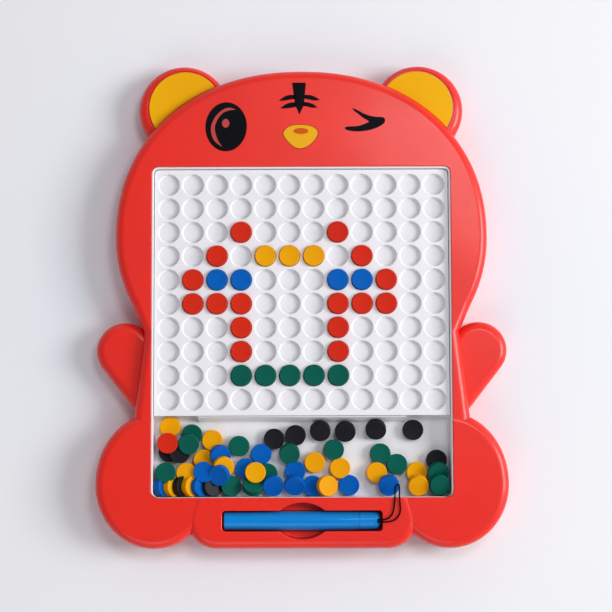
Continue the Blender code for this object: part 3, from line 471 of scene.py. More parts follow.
INK_ROSE = ink("rose", "case_red", (0.5, 0.06, 0.06), (0.44, 0.05, 0.05), (0.6, 0.12, 0.1))
INK_RUST = ink("rust", "case_red", (0.42, 0.06, 0.01), (0.38, 0.05, 0.01), (0.5, 0.12, 0.03))
INK_YELLOW = ink("yellow", "pad_yellow", (0.83, 0.42, 0.006), (0.79, 0.38, 0.006), (0.9, 0.5, 0.06))
INK_BROWN = ink("brown", "case_red", (0.62, 0.09, 0.008), (0.56, 0.08, 0.008), (0.7, 0.15, 0.03))


class DiscColour(Enum):
    """The colours of the loose discs, each with its own plastic."""

    RED = disc_plastic("red", (0.66, 0.026, 0.009), (0.6, 0.022, 0.009), (0.78, 0.09, 0.05))
    YELLOW = disc_plastic("yellow", (0.84, 0.385, 0.002), (0.8, 0.34, 0.002), (0.9, 0.5, 0.05))
    BLUE = disc_plastic("blue", (0.001, 0.112, 0.48), (0.001, 0.1, 0.44), (0.02, 0.18, 0.58))
    GREEN = disc_plastic("green", (0.003, 0.11, 0.078), (0.002, 0.095, 0.066), (0.02, 0.17, 0.12))
    BLACK = disc_plastic("black", (0.009, 0.009, 0.013), (0.007, 0.007, 0.010), (0.04, 0.04, 0.045), 0.14)


# Mesh helpers


def quarter(steps: int) -> list[Point]:
    """The cosine and sine of even steps through a right angle."""
    angles = [math.pi / 2 * step / steps for step in range(steps + 1)]
    return [(math.cos(angle), math.sin(angle)) for angle in angles]


def corner_profile(low: float, high: float, edge: float, segments: int, grow: float = 0.0) -> Profile:
    """A wall that rises from low and rounds over inwards to a flat top.

    Args:
        low: The wall's foot.
        high: The flat top.
        edge: The radius of the round edge.
        segments: The steps of the round edge.
        grow: How far the wall stands outside the outline.

    Returns:
        Pairs of outward move and height, from the foot up.
    """
    return [(grow, low)] + [(grow - edge + edge * c, high - edge + edge * s) for c, s in quarter(segments)]


def mouth_profile(
    low: float, lip: float, flare: float, top: float, segments: int = 4, foot: float = 0.0
) -> Profile:
    """A cutter for a hole whose mouth is rounded off, and whose foot may be.

    Args:
        low: The hole's foot.
        lip: The surface that the hole opens in.
        flare: The radius of the round mouth.
        top: Where the cutter ends, above the lip.
        segments: The steps of each round.
        foot: The radius of the round between the hole's wall and its floor.

    Returns:
        Pairs of outward move and height, from the foot up.
    """
    profile = [(0.0, low)]
    if foot:
        profile = [(foot * s - foot, low + foot - foot * c) for c, s in quarter(segments)]
    profile += [(flare - flare * c, lip - flare + flare * s) for c, s in quarter(segments)]
    return profile + [(flare, top)]


def raise_ring(bm: bmesh.types.BMesh, ring: Ring, outline: list[Point], height: float) -> Ring:
    """Extrudes a closed ring of vertices onto an outline at a height and returns the new ring."""
    edges = [bm.edges.get(pair) or bm.edges.new(pair) for pair in zip(ring, ring[1:] + ring[:1])]
    made = bmesh.ops.extrude_edge_only(bm, edges=edges)["geom"]
    fresh = {item for item in made if isinstance(item, bmesh.types.BMVert)}
    lifted = []
    for vert, (x, y) in zip(ring, outline):
        above = next(edge.other_vert(vert) for edge in vert.link_edges if edge.other_vert(vert) in fresh)
        above.co = (x, y, height)
        lifted.append(above)
    return lifted


def loft(bm: bmesh.types.BMesh, outline: Outline, profile: Profile, capped: bool = True) -> tuple[Ring, Ring]:
    """Sweeps an outline up a profile into a body.

    Args:
        bm: The mesh to add to.
        outline: Gives the plan, moved outwards by any amount.
        profile: Pairs of outward move and height, from the foot up.
        capped: Whether the two ends are closed.

    Returns:
        The lowest and the highest ring of vertices.
    """
    grow, low = profile[0]
    first = ring = [bm.verts.new((x, y, low)) for x, y in outline(grow)]
    for grow, height in profile[1:]:
        ring = raise_ring(bm, ring, outline(grow), height)
    if capped:
        bm.faces.new(first)
        bm.faces.new(ring)
    return first, ring


def push_face(bm: bmesh.types.BMesh, corners: Iterable[Sequence[float]], move: Sequence[float]) -> None:
    """Adds a flat face and extrudes it along a vector into a closed body."""
    base = bm.faces.new([bm.verts.new(corner) for corner in corners])
    pushed = bmesh.ops.extrude_face_region(bm, geom=[base])["geom"]
    moved = [item for item in pushed if isinstance(item, bmesh.types.BMVert)]
    bmesh.ops.translate(bm, verts=moved, vec=move)


def turned(profile: Sequence[Point], steps: int) -> bmesh.types.BMesh:
    """Spins a half profile of radius and height about Z into a closed body."""
    bm = bmesh.new()
    points = [bm.verts.new((radius, 0, height)) for radius, height in profile]
    lines = [bm.edges.new(pair) for pair in zip(points, points[1:])]
    about = {"cent": (0, 0, 0), "axis": (0, 0, 1), "angle": 2 * math.pi}
    bmesh.ops.spin(bm, geom=points + lines, steps=steps, use_merge=True, **about)
    bmesh.ops.remove_doubles(bm, verts=bm.verts, dist=WELD)
    return bm


def new_object(name: str, bm: bmesh.types.BMesh) -> bpy.types.Object:
    """Turns a bmesh into an object at the origin."""
    bmesh.ops.recalc_face_normals(bm, faces=bm.faces)
    mesh = bpy.data.meshes.new(name)
    bm.to_mesh(mesh)
    bm.free()
    made = bpy.data.objects.new(name, mesh)
    bpy.context.scene.collection.objects.link(made)
    return made


def lofted(name: str, outline: Outline, profile: Profile) -> bpy.types.Object:
    """One outline swept up one profile, as an object."""
    bm = bmesh.new()
    loft(bm, outline, profile)
    return new_object(name, bm)


def prism(name: str, outline: Outline, low: float, high: float, grow: float = 0.0) -> bpy.types.Object:
    """One outline, moved outwards by grow, raised straight from low to high."""
    return lofted(name, outline, [(grow, low), (grow, high)])


def combine(body: bpy.types.Object, *steps: tuple[str, bpy.types.Object]) -> bpy.types.Object:
    """Runs Boolean steps on a piece, keeps the result as its mesh and removes the tools.

    Args:
        body: The piece.
        steps: Pairs of a Boolean operation and the tool that it uses.

    Returns:
        The piece.
    """
    for operation, tool in steps:
        step = body.modifiers.new(tool.name, "BOOLEAN")
        step.operation = operation
        step.solver = "EXACT"
        step.object = tool
    bpy.context.view_layer.update()
    graph = bpy.context.evaluated_depsgraph_get()
    mesh = bpy.data.meshes.new_from_object(body.evaluated_get(graph))
    body.modifiers.clear()
    body.data = mesh
    for _, tool in steps:
        bpy.data.objects.remove(tool)
    return body


def dress(
    piece: bpy.types.Object, finish: Finish, body: str, *nodes: str, sharp: float = 16.0, soften: float = 0.0
) -> bpy.types.Object:
    """Finishes a piece: smooth shading, material, and the body and nodes that it goes with.

    Args:
        piece: The object, in place.
        finish: Its surface.
        body: The body that it rides on.
        nodes: The plain solids that it stands for.
        sharp: The angle in degrees past which an edge stays sharp.
        soften: The width of a bevel on the sharp edges, or 0 for none.

    Returns:
        The piece.
    """
    if soften:
        bevel = piece.modifiers.new("soft_edges", "BEVEL")
        bevel.width = soften
        bevel.segments = 3
        bevel.limit_method = "ANGLE"
        bevel.angle_limit = math.radians(40)
        bevel.use_clamp_overlap = True
    piece.data.shade_smooth()
    piece.data.set_sharp_from_angle(angle=math.radians(sharp))
    even = piece.modifiers.new("even_shading", "WEIGHTED_NORMAL")
    even.keep_sharp = True
    piece.data.materials.clear()
    piece.data.materials.append(finish.material())
    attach(piece, body)
    if nodes:
        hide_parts(*nodes)
    LOG.info("%s rides on %s, %d faces", piece.name, body, len(piece.data.polygons))
    return piece


# Plans


def corner_arc(x: float, y: float, radius: float, turn: float, steps: int) -> list[Point]:
    """A quarter circle that begins after a number of quarter turns."""
    angles = [(turn + step / steps) * math.pi / 2 for step in range(steps + 1)]
    return [(x + radius * math.cos(angle), y + radius * math.sin(angle)) for angle in angles]


def rectangle(half: float, bottom: float, top: float, corner: float, steps: int = 8) -> Outline:
    """A rectangle about the middle line with round corners, which keep their centres as it grows."""

    def outline(grow: float) -> list[Point]:
        """The rectangle moved outwards by grow."""
        x, low, high = half - corner, bottom + corner, top - corner
        points = []
        for turn, (a, b) in enumerate(((x, high), (-x, high), (-x, low), (x, low))):
            points += corner_arc(a, b, corner + grow, turn, steps)
        return points

    return outline


def egg(x: float, y: float, half_width: float, rise: float, drop: float, steps: int) -> Outline:
    """An egg shape: one half ellipse over another."""

    def outline(grow: float) -> list[Point]:
        """The egg moved outwards by grow."""
        points = []
        for step in range(steps):
            angle = 2 * math.pi * step / steps
            height = rise if math.sin(angle) > 0 else drop
            points.append((x + (half_width + grow) * math.cos(angle), y + (height + grow) * math.sin(angle)))
        return points

    return outline


def circle(x: float, y: float, radius: float, steps: int = FINE) -> Outline:
    """A circle."""
    return egg(x, y, radius, radius, radius, steps)


def spline(a: Vector, b: Vector, c: Vector, d: Vector, t: float) -> Vector:
    """The point a share t of the way from b to c on a smooth curve through four points."""
    near = a * (-t + 2 * t**2 - t**3) + b * (2 - 5 * t**2 + 3 * t**3)
    far = c * (t + 4 * t**2 - 3 * t**3) + d * (t**3 - t**2)
    return (near + far) / 2


def mirrored(points: list[Point]) -> list[Point]:
    """Closes a right-hand outline, given from top to bottom, with its own mirror image."""
    return points + [(-x, y) for x, y in reversed(points) if x]


@dataclass(frozen=True)
class Plan:
    """The plan and levels of the board that its pieces share."""

    window_half: float = 94.55 * MM
    window_bottom: float = -121.545 * MM
    window_top: float = 86.945 * MM
    window_corner: float = 4.2 * MM
    step_y: float = -70.455 * MM
    base_y: float = -153.245 * MM
    torso_top: float = 24.4 * MM
    foot_top: float = 24.8 * MM
    bar_top: float = 25.2 * MM
    low_top: float = 18.0 * MM
    wall: float = 2.2 * MM
    mouth_half: float = 93.35 * MM
    mouth_top: float = 85.745 * MM
    mouth_bottom: float = -121.245 * MM
    mouth_corner: float = 3.3 * MM
    rim_top: float = 23.4 * MM
    grid_top: float = 20.6 * MM
    grid_under: float = 18.4 * MM
    sheet_top: float = 18.1 * MM
    shelf: float = 16.6 * MM
    tray_floor: float = 10.4 * MM
    pan_wall: float = 1.6 * MM
    pen_y: float = -136.045 * MM
    pen_axis: float = 18.9 * MM
    bay_half_length: float = 49.95 * MM
    bay_half_width: float = 6.4 * MM
    bay_corner: float = 2.2 * MM
    scoop_reach: float = 11.3 * MM
    scoop_half: float = 14 * MM
    head_half: float = 117.55 * MM
    half_length: float = 153.245 * MM
    foot_x: float = 92.45 * MM
    foot_y: float = -113.245 * MM
    foot_half: float = 37.1 * MM
    foot_rise: float = 44.4 * MM
    foot_drop: float = 40.0 * MM
    ear_x: float = 74.77 * MM
    ear_y: float = 124.545 * MM
    ear_radius: float = 28.7 * MM
    pad_x: float = 73.77 * MM
    pad_y: float = 125.895 * MM
    pad_radius: float = 23.5 * MM

    def torso(self, steps: int = 56) -> Outline:
        """The head and body in one: a squared-off dome, a rounded jaw and two straight flanks."""
        centre, rise, drop, power = 42.345 * MM, 106.5 * MM, 103.2 * MM, 2.165
        neck = math.radians(-24.5)
        waist, waist_y = 99.15 * MM, -18.155 * MM
        hip, hip_y = 105.55 * MM, -71.045 * MM
        foot = self.window_bottom - 5.5 * MM

        def outline(grow: float) -> list[Point]:
            """The torso moved outwards by grow."""
            right = []
            for step in range(steps + 1):
                angle = math.pi / 2 * (1 - step / steps)
                across = math.cos(angle) ** (2 / power) if step else 0
                along = math.sin(angle) ** (2 / power) if step < steps else 0
                right.append(((self.head_half + grow) * across, centre + (rise + grow) * along))
            jaw = steps // 2
            for step in range(1, jaw + 1):
                across, along = math.cos(neck * step / jaw), math.sin(neck * step / jaw)
                right.append(((self.head_half + grow) * across, centre + (drop + grow) * along))
            right += [(waist + grow, waist_y), (hip + grow, hip_y), (hip + grow, foot - grow)]
            return mirrored(right)

        return outline

    def foot(self, side: int) -> Outline:
        """One foot, left (-1) or right (1)."""
        return egg(side * self.foot_x, self.foot_y, self.foot_half, self.foot_rise, self.foot_drop, FINE)

    def ear(self, side: int) -> Outline:
        """One round ear."""
        return circle(side * self.ear_x, self.ear_y, self.ear_radius)

    def pad(self, side: int) -> Outline:
        """The round pad in one ear, a little in and up from the ear's middle."""
        return circle(side * self.pad_x, self.pad_y, self.pad_radius)

    def arm(self, side: int, steps: int = 28) -> Outline:
        """One raised arm: a long round-ended shape that leans in under the body."""
        x, y, lean = 111.95 * MM, -29.245 * MM, math.radians(37.9)
        radius, length = 17.9 * MM, 45 * MM

        def outline(grow: float) -> list[Point]:
            """The arm moved outwards by grow."""
            points = []
            root = (x - length * math.sin(lean), y - length * math.cos(lean), 1)
            for end_x, end_y, half in ((x, y, 0), root):
                for step in range(steps + 1):
                    angle = math.pi * (half + step / steps) - lean
                    reach = radius + grow
                    points.append((side * (end_x + reach * math.cos(angle)), end_y + reach * math.sin(angle)))
            return points

        return outline

    def bar(self, steps: int = 20) -> Outline:
        """The bar between the feet: round lower corners, and ends drawn in towards the window."""
        round_, half, neck, tuck = 19.1 * MM, 72.3 * MM, 4.8 * MM, 8 * MM

        def outline(grow: float) -> list[Point]:
            """The bar moved outwards by grow."""
            corner = round_ + grow
            x, y = half - round_, self.base_y + round_
            right = [(x + corner - neck, self.window_bottom + tuck + grow)]
            for step in range(steps + 1):
                angle = -math.pi / 2 * step / steps
                right.append((x + corner * math.cos(angle), y + corner * math.sin(angle)))
            return mirrored(right)

        return outline

    def scoop(self) -> Outline:
        """The finger scoop across the bay: a lens of two arcs."""
        steps = 12

        def outline(grow: float) -> list[Point]:
            """The scoop moved outwards by grow."""
            rise = self.scoop_reach - self.bay_half_width
            radius = (self.scoop_half**2 + rise**2) / (2 * rise) + grow
            centre = self.scoop_reach - radius + grow
            half_angle = math.acos((self.bay_half_width - centre) / radius)
            points = []
            for side in (1, -1):
                for step in range(2 * steps + 1):
                    angle = half_angle * (1 - step / steps)
                    y = self.pen_y + side * (centre + radius * math.cos(angle))
                    points.append((-side * radius * math.sin(angle), y))
            return points

        return outline

    def window(self) -> Outline:
        """The window through the face."""
        return rectangle(self.window_half, self.window_bottom, self.window_top, self.window_corner)

    def bay(self) -> Outline:
        """The pen's bay."""
        low, high = self.pen_y - self.bay_half_width, self.pen_y + self.bay_half_width
        return rectangle(self.bay_half_length, low, high, self.bay_corner)

    def screws(self) -> list[tuple[str, float, float]]:
        """Each screw's place and middle."""
        found = []
        for place, across, along in (("brow", 0.37, 0.835), ("cheek", 0.91, 0.2), ("foot", 0.866, -0.874)):
            for side, word in SIDES:
                found.append((f"{place}_{word}", side * across * self.head_half, along * self.half_length))
        return found


PLAN = Plan()


# Sub-assemblies


@dataclass
class Case:
    """The red front shell and the cover that closes it from behind."""

    edge: float = 5.8 * MM
    inner_edge: float = 2.0 * MM
    lip: float = 0.3 * MM
    skirt_lift: float = 0.6 * MM
    stagger: float = 0.1 * MM
    reach: float = 300 * MM
    cover: float = 2.2 * MM
    cover_edge: float = 0.5 * MM
    cover_boss: float = 4.7 * MM
    cover_boss_top: float = 4.2 * MM
    hole_top: float = 6 * MM
    well_radius: float = 2.9 * MM
    well_top: float = 2.2 * MM
    bay_floor: float = 12.7 * MM
    bay_lip: float = 0.6 * MM
    bay_foot: float = 1.4 * MM
    scoop_drop: float = 9.0 * MM
    scoop_wall: float = 1.4 * MM
    scoop_lip: float = 1.0 * MM
    scoop_foot: float = 1.6 * MM
    pad: float = 1.0 * MM
    pad_gap: float = 0.62 * MM
    pad_lip: float = 0.35 * MM
    pad_keep: float = 0.4 * MM
    boss_radius: float = 3.3 * MM
    boss_low: float = 4.5 * MM
    pilot_radius: float = 1.5 * MM
    pilot_top: float = 12.9 * MM
    segments: int = 9
    inner_segments: int = 4
    round_steps: int = 32

    def lobes(self) -> list[tuple[str, Outline, float]]:
        """Every lobe's name, plan and top."""
        found = [("torso", PLAN.torso(), PLAN.torso_top), ("bar", PLAN.bar(), PLAN.bar_top)]
        for side, word in SIDES:
            found.append((f"foot_{word}", PLAN.foot(side), PLAN.foot_top))
            found.append((f"arm_{word}", PLAN.arm(side), PLAN.low_top))
            found.append((f"ear_{word}", PLAN.ear(side), PLAN.low_top))
        return found

    def joined(self, make: Callable[[float, str, Outline, float], bpy.types.Object]) -> bpy.types.Object:
        """Joins a solid for each lobe.

        Args:
            make: Makes a lobe's solid from its drop, name, plan and top. The drop is a small
                amount of its own for each lobe, which keeps their feet off one plane.

        Returns:
            The solids as one.
        """
        whole, *others = [make(index * self.stagger, *lobe) for index, lobe in enumerate(self.lobes())]
        for other in others:
            combine(whole, ("UNION", other))
        return whole

    def outside(self, drop: float, name: str, outline: Outline, top: float) -> bpy.types.Object:
        """A lobe's solid outside, with the window cut through its face if it has one."""
        lobe = lofted(f"outside_{name}", outline, corner_profile(-drop, top, self.edge, self.segments))
        if name.startswith(("arm", "ear")):
            return lobe
        cutter = mouth_profile(-OVERRUN, top, self.lip, top + OVERRUN)
        return combine(lobe, ("DIFFERENCE", lofted("window", PLAN.window(), cutter)))

    def inside(self, drop: float, name: str, outline: Outline, top: float) -> bpy.types.Object:
        """The hollow behind a lobe's walls."""
        high = top - PLAN.wall
        profile = corner_profile(-OVERRUN - drop, high, self.inner_edge, self.inner_segments, -PLAN.wall)
        return lofted(f"inside_{name}", outline, profile)

    def plate(self, drop: float, name: str, outline: Outline, _: float) -> bpy.types.Object:
        """A lobe's part of the cover, before it is trimmed to the cover's thickness."""
        return prism(f"cover_{name}", outline, -OVERRUN - drop, 2 * OVERRUN + drop, -PLAN.wall - CLEAR)

    def slab(self, name: str, low: float, high: float) -> bpy.types.Object:
        """A slab wider than the board."""
        return prism(name, rectangle(self.reach, -self.reach, self.reach, self.reach / 9, 2), low, high)

    def rounds(self, name: str, radius: float, low: float, high: float) -> bpy.types.Object:
        """Upright round bars at the six screws."""
        bm = bmesh.new()
        for _, x, y in PLAN.screws():
            loft(bm, circle(x, y, radius, self.round_steps), [(0, low), (0, high)])
        return new_object(name, bm)

    def brow(self, low: float, grow: float) -> bpy.types.Object:
        """The head's part above the ears' level, which hides a piece of each ear."""
        return prism("brow", PLAN.torso(), low, PLAN.low_top + 2 * OVERRUN, grow)

    def ear_recess(self) -> bpy.types.Object:
        """The sinks for the ear pads, cut off where the head covers them."""
        floor = PLAN.low_top - self.pad - CLEAR
        profile = mouth_profile(floor, PLAN.low_top, self.pad_lip, PLAN.low_top + OVERRUN)
        bm = bmesh.new()
        for side, _ in SIDES:
            loft(bm, PLAN.pad(side), [(self.pad_gap + grow, height) for grow, height in profile])
        return combine(new_object("ear_recess", bm), ("DIFFERENCE", self.brow(-OVERRUN, self.stagger)))

    def shell(self) -> None:
        """The front shell, with the pen's bay, the finger scoops and the ears' sinks."""
        scoop_floor = PLAN.bar_top - self.scoop_drop
        above = PLAN.bar_top + OVERRUN
        tub_top = PLAN.bar_top - PLAN.wall / 2
        boss_top = PLAN.torso_top - PLAN.wall / 2
        bay = mouth_profile(self.bay_floor, PLAN.bar_top, self.bay_lip, above, foot=self.bay_foot)
        scoop = mouth_profile(scoop_floor, PLAN.bar_top, self.scoop_lip, above, foot=self.scoop_foot)
        scoop_under = scoop_floor - self.scoop_wall
        shell = combine(
            self.joined(self.outside),
            ("DIFFERENCE", self.joined(self.inside)),
            ("UNION", prism("bay_tub", PLAN.bay(), self.bay_floor - PLAN.wall, tub_top, PLAN.wall)),
            ("UNION", prism("scoop_tub", PLAN.scoop(), scoop_under, tub_top, self.scoop_wall)),
            ("UNION", self.rounds("bosses", self.boss_radius, self.boss_low, boss_top)),
            ("DIFFERENCE", self.rounds("pilots", self.pilot_radius, 0, self.pilot_top)),
            ("DIFFERENCE", lofted("bay", PLAN.bay(), bay)),
            ("DIFFERENCE", lofted("scoop", PLAN.scoop(), scoop)),
            ("DIFFERENCE", self.ear_recess()),
            ("DIFFERENCE", self.slab("skirt", -2 * OVERRUN, self.skirt_lift)),
        )
        shell.name = "case_shell"
        dress(shell, CASE_PLASTIC, "case", "front_shell")

    def back(self) -> None:
        """The flat cover, with wells for the screw heads."""
        cover = combine(
            self.joined(self.plate),
            ("INTERSECT", self.slab("slab", 0, self.cover)),
            ("UNION", self.rounds("cover_bosses", self.cover_boss, self.cover / 2, self.cover_boss_top)),
            ("DIFFERENCE", self.rounds("cover_holes", self.pilot_radius, -OVERRUN, self.hole_top)),
            ("DIFFERENCE", self.rounds("cover_wells", self.well_radius, -OVERRUN, self.well_top)),
        )
        cover.name = "case_cover"
        dress(cover, CASE_PLASTIC, "case", "back_cover", sharp=30, soften=self.cover_edge)

    def ear_pads(self) -> None:
        """The two yellow pads, let into the ears and cut off where the head covers them."""
        inset = CLEAR / 2 - self.pad_gap
        for side, word in SIDES:
            pad = prism(f"pad_{word}", PLAN.pad(side), PLAN.low_top - self.pad, PLAN.low_top, inset)
            combine(pad, ("DIFFERENCE", self.brow(0, self.pad_keep)))
            dress(pad, PAD_PLASTIC, "case", f"ear_pad_{word}", sharp=30, soften=self.pad_lip)

    def build(self) -> None:
        """Makes the shell, the cover and the ear pads."""
        self.shell()
        self.back()
        self.ear_pads()


@dataclass
class Screws:
    """Six pan-head screws in the cover's wells, with crossed slots."""

    radius: float = 1.2 * MM
    head: float = 2.6 * MM
    head_height: float = 1.5 * MM
    crown: float = 0.7 * MM
    sink: float = 0.4 * MM
    length: float = 10.5 * MM
    turns: int = 8
    neck: float = 0.4 * MM
    point: float = 1.6 * MM
    core_share: float = 0.78
    slot_width: float = 0.55 * MM
    slot_length: float = 3.0 * MM
    slot_height: float = 1.6 * MM
    turn_per_metre: float = 40
    steps: int = 32

    def profile(self) -> list[Point]:
        """The half profile: a crowned head, then a threaded shank."""
        top = self.sink + self.head_height
        points = [(0, self.sink)]
        for c, s in quarter(6):
            points.append((self.head - self.crown * (1 - s), self.sink + self.crown * (1 - c)))
        points += [(self.head, top), (self.radius, top)]
        pitch = (self.length - self.head_height - self.point) / self.turns
        for turn in range(self.turns):
            low = top + self.neck + turn * pitch
            points += [(self.radius, low + 0.3 * pitch), (self.radius * self.core_share, low + 0.6 * pitch)]
        points.append((0, self.sink + self.length))
        return points

    def build(self) -> None:
        """Makes the six screws."""
        across = (self.slot_width, self.slot_length)
        for place, x, y in PLAN.screws():
            screw = new_object(f"fixing_{place}", turned(self.profile(), self.steps))
            for width, length in (across, across[::-1]):
                slot = bmesh.new()
                size = Matrix.Diagonal((width, length, self.slot_height, 1))
                bmesh.ops.create_cube(slot, size=1, matrix=Matrix.Translation((0, 0, self.sink)) @ size)
                combine(screw, ("DIFFERENCE", new_object("slot", slot)))
            turn = Matrix.Rotation(x * self.turn_per_metre, 4, "Z")
            screw.data.transform(Matrix.Translation((x, y, 0)) @ turn)
            dress(screw, PLATED_STEEL, "case", f"screw_{place}", sharp=30)


@dataclass
class Pan:
    """The white pan: a rim round the window, the board's shelf and the tray with its ramp."""

    flange_reach: float = 0.8 * MM
    flange: float = 1.6 * MM
    flange_top: float = 21.9 * MM
    chamfer: float = 1 * MM
    lap: float = 0.1 * MM
    nudge: float = 0.01 * MM
    small_corner: float = 0.2 * MM
    board_run: float = 7.5 * MM
    tray_foot: float = 1.2 * MM
    ramp_run: float = 3.6 * MM
    crest_run: float = 1.2 * MM
    crest_drop: float = 1.1 * MM
    nose_run: float = 0.85 * MM
    ramp_half: float = 65.2 * MM
    rim_gap: float = 0.08 * MM
    rim_round: float = 0.3 * MM
    lip: float = 0.35 * MM
    lip_steps: int = 3

    def half_room(self, bottom: float, top: float, half: float, round_top: bool) -> Outline:
        """A rectangle whose corners are round at one end and nearly square at the other.

        Args:
            bottom: Its lower side.
            top: Its upper side.
            half: Half its width.
            round_top: Whether the upper corners are the round ones.

        Returns:
            The outline.
        """
        steps = 8
        tight = 0.05 * MM

        def outline(grow: float) -> list[Point]:
            """The room's plan moved outwards by grow."""
            points = []
            for turn, (x, y) in enumerate(((1, 1), (-1, 1), (-1, -1), (1, -1))):
                base = PLAN.mouth_corner if (y > 0) == round_top else tight
                base = max(base, tight - grow)
                centre_y = top - base if y > 0 else bottom + base
                points += corner_arc(x * (half - base), centre_y, base + grow, turn, steps)
            return points

        return outline

    def body(self, under: float) -> bpy.types.Object:
        """The pan before its rooms are cut: a block with a flange and a rim."""
        bottom, top = PLAN.mouth_bottom - PLAN.pan_wall, PLAN.mouth_top + PLAN.pan_wall
        block = lofted(
            "tray_body",
            rectangle(PLAN.mouth_half + PLAN.pan_wall, bottom, top, PLAN.mouth_corner + PLAN.pan_wall),
            [(-self.chamfer, under), (0, under + self.chamfer), (0, self.flange_top - self.lap)],
        )
        reach, gap = self.flange_reach, self.rim_gap
        wide = rectangle(
            PLAN.window_half + reach, bottom - self.lap, PLAN.window_top + reach, PLAN.window_corner + reach
        )
        rim = lofted(
            "rim",
            rectangle(
                PLAN.window_half - gap, PLAN.mouth_bottom, PLAN.window_top - gap, PLAN.window_corner - gap
            ),
            corner_profile(self.flange_top - self.flange / 2, PLAN.rim_top, self.rim_round, 3),
        )
        flange = prism("flange", wide, self.flange_top - self.flange, self.flange_top)
        return combine(block, ("UNION", flange), ("UNION", rim))

    def build(self) -> None:
        """Makes the pan."""
        under = PLAN.tray_floor - PLAN.pan_wall
        top = PLAN.rim_top + OVERRUN
        step = PLAN.step_y + PLAN.pan_wall
        outer = PLAN.pan_wall + OVERRUN
        behind = rectangle(PLAN.mouth_half + outer, step, PLAN.mouth_top + outer, self.small_corner, 1)
        tray = lofted(
            "tray_room",
            self.half_room(PLAN.mouth_bottom, PLAN.step_y, PLAN.mouth_half, False),
            mouth_profile(PLAN.tray_floor, PLAN.rim_top, self.lip, top, self.lip_steps, self.tray_foot),
        )
        half = PLAN.mouth_half - self.nudge
        board = lofted(
            "board_room",
            rectangle(half, PLAN.step_y - self.board_run, PLAN.mouth_top, PLAN.mouth_corner),
            mouth_profile(PLAN.sheet_top, PLAN.rim_top, self.lip, top, self.lip_steps),
        )
        sheet = rectangle(half - self.lap, step, PLAN.mouth_top - self.lap, self.small_corner, 1)
        pan = combine(
            self.body(under),
            ("DIFFERENCE", prism("below", behind, under - OVERRUN, PLAN.shelf - PLAN.pan_wall)),
            ("DIFFERENCE", tray),
            ("DIFFERENCE", board),
            ("DIFFERENCE", prism("sheet_room", sheet, PLAN.shelf, PLAN.grid_top)),
            ("UNION", self.ramp(under)),
        )
        pan.name = "pan_white"
        dress(pan, PAN_PLASTIC, "case", "tray_pan", sharp=30)

    def ramp(self, under: float) -> bpy.types.Object:
        """The slope from the tray's floor up to the board."""
        root = PLAN.pan_wall / 2
        step = PLAN.step_y
        profile = (
            (step + root, under + root),
            (step - self.ramp_run, under + root),
            (step - self.ramp_run, PLAN.tray_floor + root),
            (step - self.crest_run, PLAN.grid_top - self.crest_drop),
            (step - self.nose_run, PLAN.grid_top - 2 * CLEAR),
            (step - CLEAR, PLAN.grid_top - CLEAR),
            (step - CLEAR, PLAN.sheet_top - CLEAR),
            (step + root, PLAN.sheet_top - CLEAR),
        )
        bm = bmesh.new()
        push_face(bm, [(-self.ramp_half, y, z) for y, z in profile], (2 * self.ramp_half, 0, 0))
        return new_object("ramp", bm)


@dataclass
class Board:
    """The plate of round cells over its magnet sheet, and the sheet under the tray."""

    columns: int = 12
    rows: int = 10
    pitch_across: float = 15.26 * MM
    pitch_along: float = 15.12 * MM
    first_x: float = -83.93 * MM
    first_y: float = 75.685 * MM
    cell_radius: float = 6.8 * MM
    lip: float = 0.35 * MM
    fillet: float = 0.85 * MM
    sides: int = 40
    slack: float = 0.1 * MM
    rim_round: float = 0.3 * MM
    sheet_corner: float = 0.8 * MM
    sheet_round: float = 0.2 * MM

    def cell(self, column: int, row: int) -> Point:
        """The middle of a cell, counted from 1 at the upper left."""
        return self.first_x + (column - 1) * self.pitch_across, self.first_y - (row - 1) * self.pitch_along

    def grid(self) -> None:
        """The plate: its rim and every cell's wall, then the flat faces between them."""
        half = PLAN.mouth_half - CLEAR - self.slack
        plan = Pan().half_room(PLAN.step_y, PLAN.mouth_top - CLEAR, half, True)
        bm = bmesh.new()
        wall = corner_profile(PLAN.grid_under, PLAN.grid_top, self.rim_round, 2)
        rings = [loft(bm, plan, wall, capped=False)]
        cell = mouth_profile(PLAN.grid_under, PLAN.grid_top, self.lip, PLAN.grid_top, 3, self.fillet)[:-1]
        for row in range(1, self.rows + 1):
            for column in range(1, self.columns + 1):
                hole = circle(*self.cell(column, row), self.cell_radius, self.sides)
                rings.append(loft(bm, hole, cell, capped=False))
        for level, way in zip(zip(*rings), (-1, 1)):
            edges = [bm.edges.get(pair) for ring in level for pair in zip(ring, ring[1:] + ring[:1])]
            bmesh.ops.triangle_fill(bm, edges=edges, use_beauty=True, use_dissolve=False, normal=(0, 0, way))
        dress(new_object("grid_plate", bm), PAN_PLASTIC, "case", "cell_grid", sharp=35)

    def sheets(self) -> None:
        """The vinyl-faced sheet under the cells, and the bare one that nobody sees."""
        half = PLAN.mouth_half - CLEAR - 2 * self.slack
        low, high = PLAN.step_y + PLAN.pan_wall + CLEAR, PLAN.mouth_top - CLEAR - self.slack
        sheet = lofted(
            "sheet_board",
            rectangle(half, low, high, self.sheet_corner),
            corner_profile(PLAN.shelf + CLEAR, PLAN.sheet_top, self.sheet_round, 2),
        )
        dress(sheet, SHEET_VINYL, "case", "board_magnet_sheet")
        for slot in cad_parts["tray_magnet_sheet"].material_slots:
            slot.material = MAGNET_RUBBER.material()

    def build(self) -> None:
        """Makes the plate and the sheets."""
        self.grid()
        self.sheets()


@dataclass(frozen=True)
class Lying:
    """A loose disc in the tray: shares of the tray, lift in discs, lean in degrees and colour."""

    across: float
    along: float
    lift: float
    tilt: float
    toward: float
    colour: DiscColour


R, Y, B, G, K = DiscColour.RED, DiscColour.YELLOW, DiscColour.BLUE, DiscColour.GREEN, DiscColour.BLACK

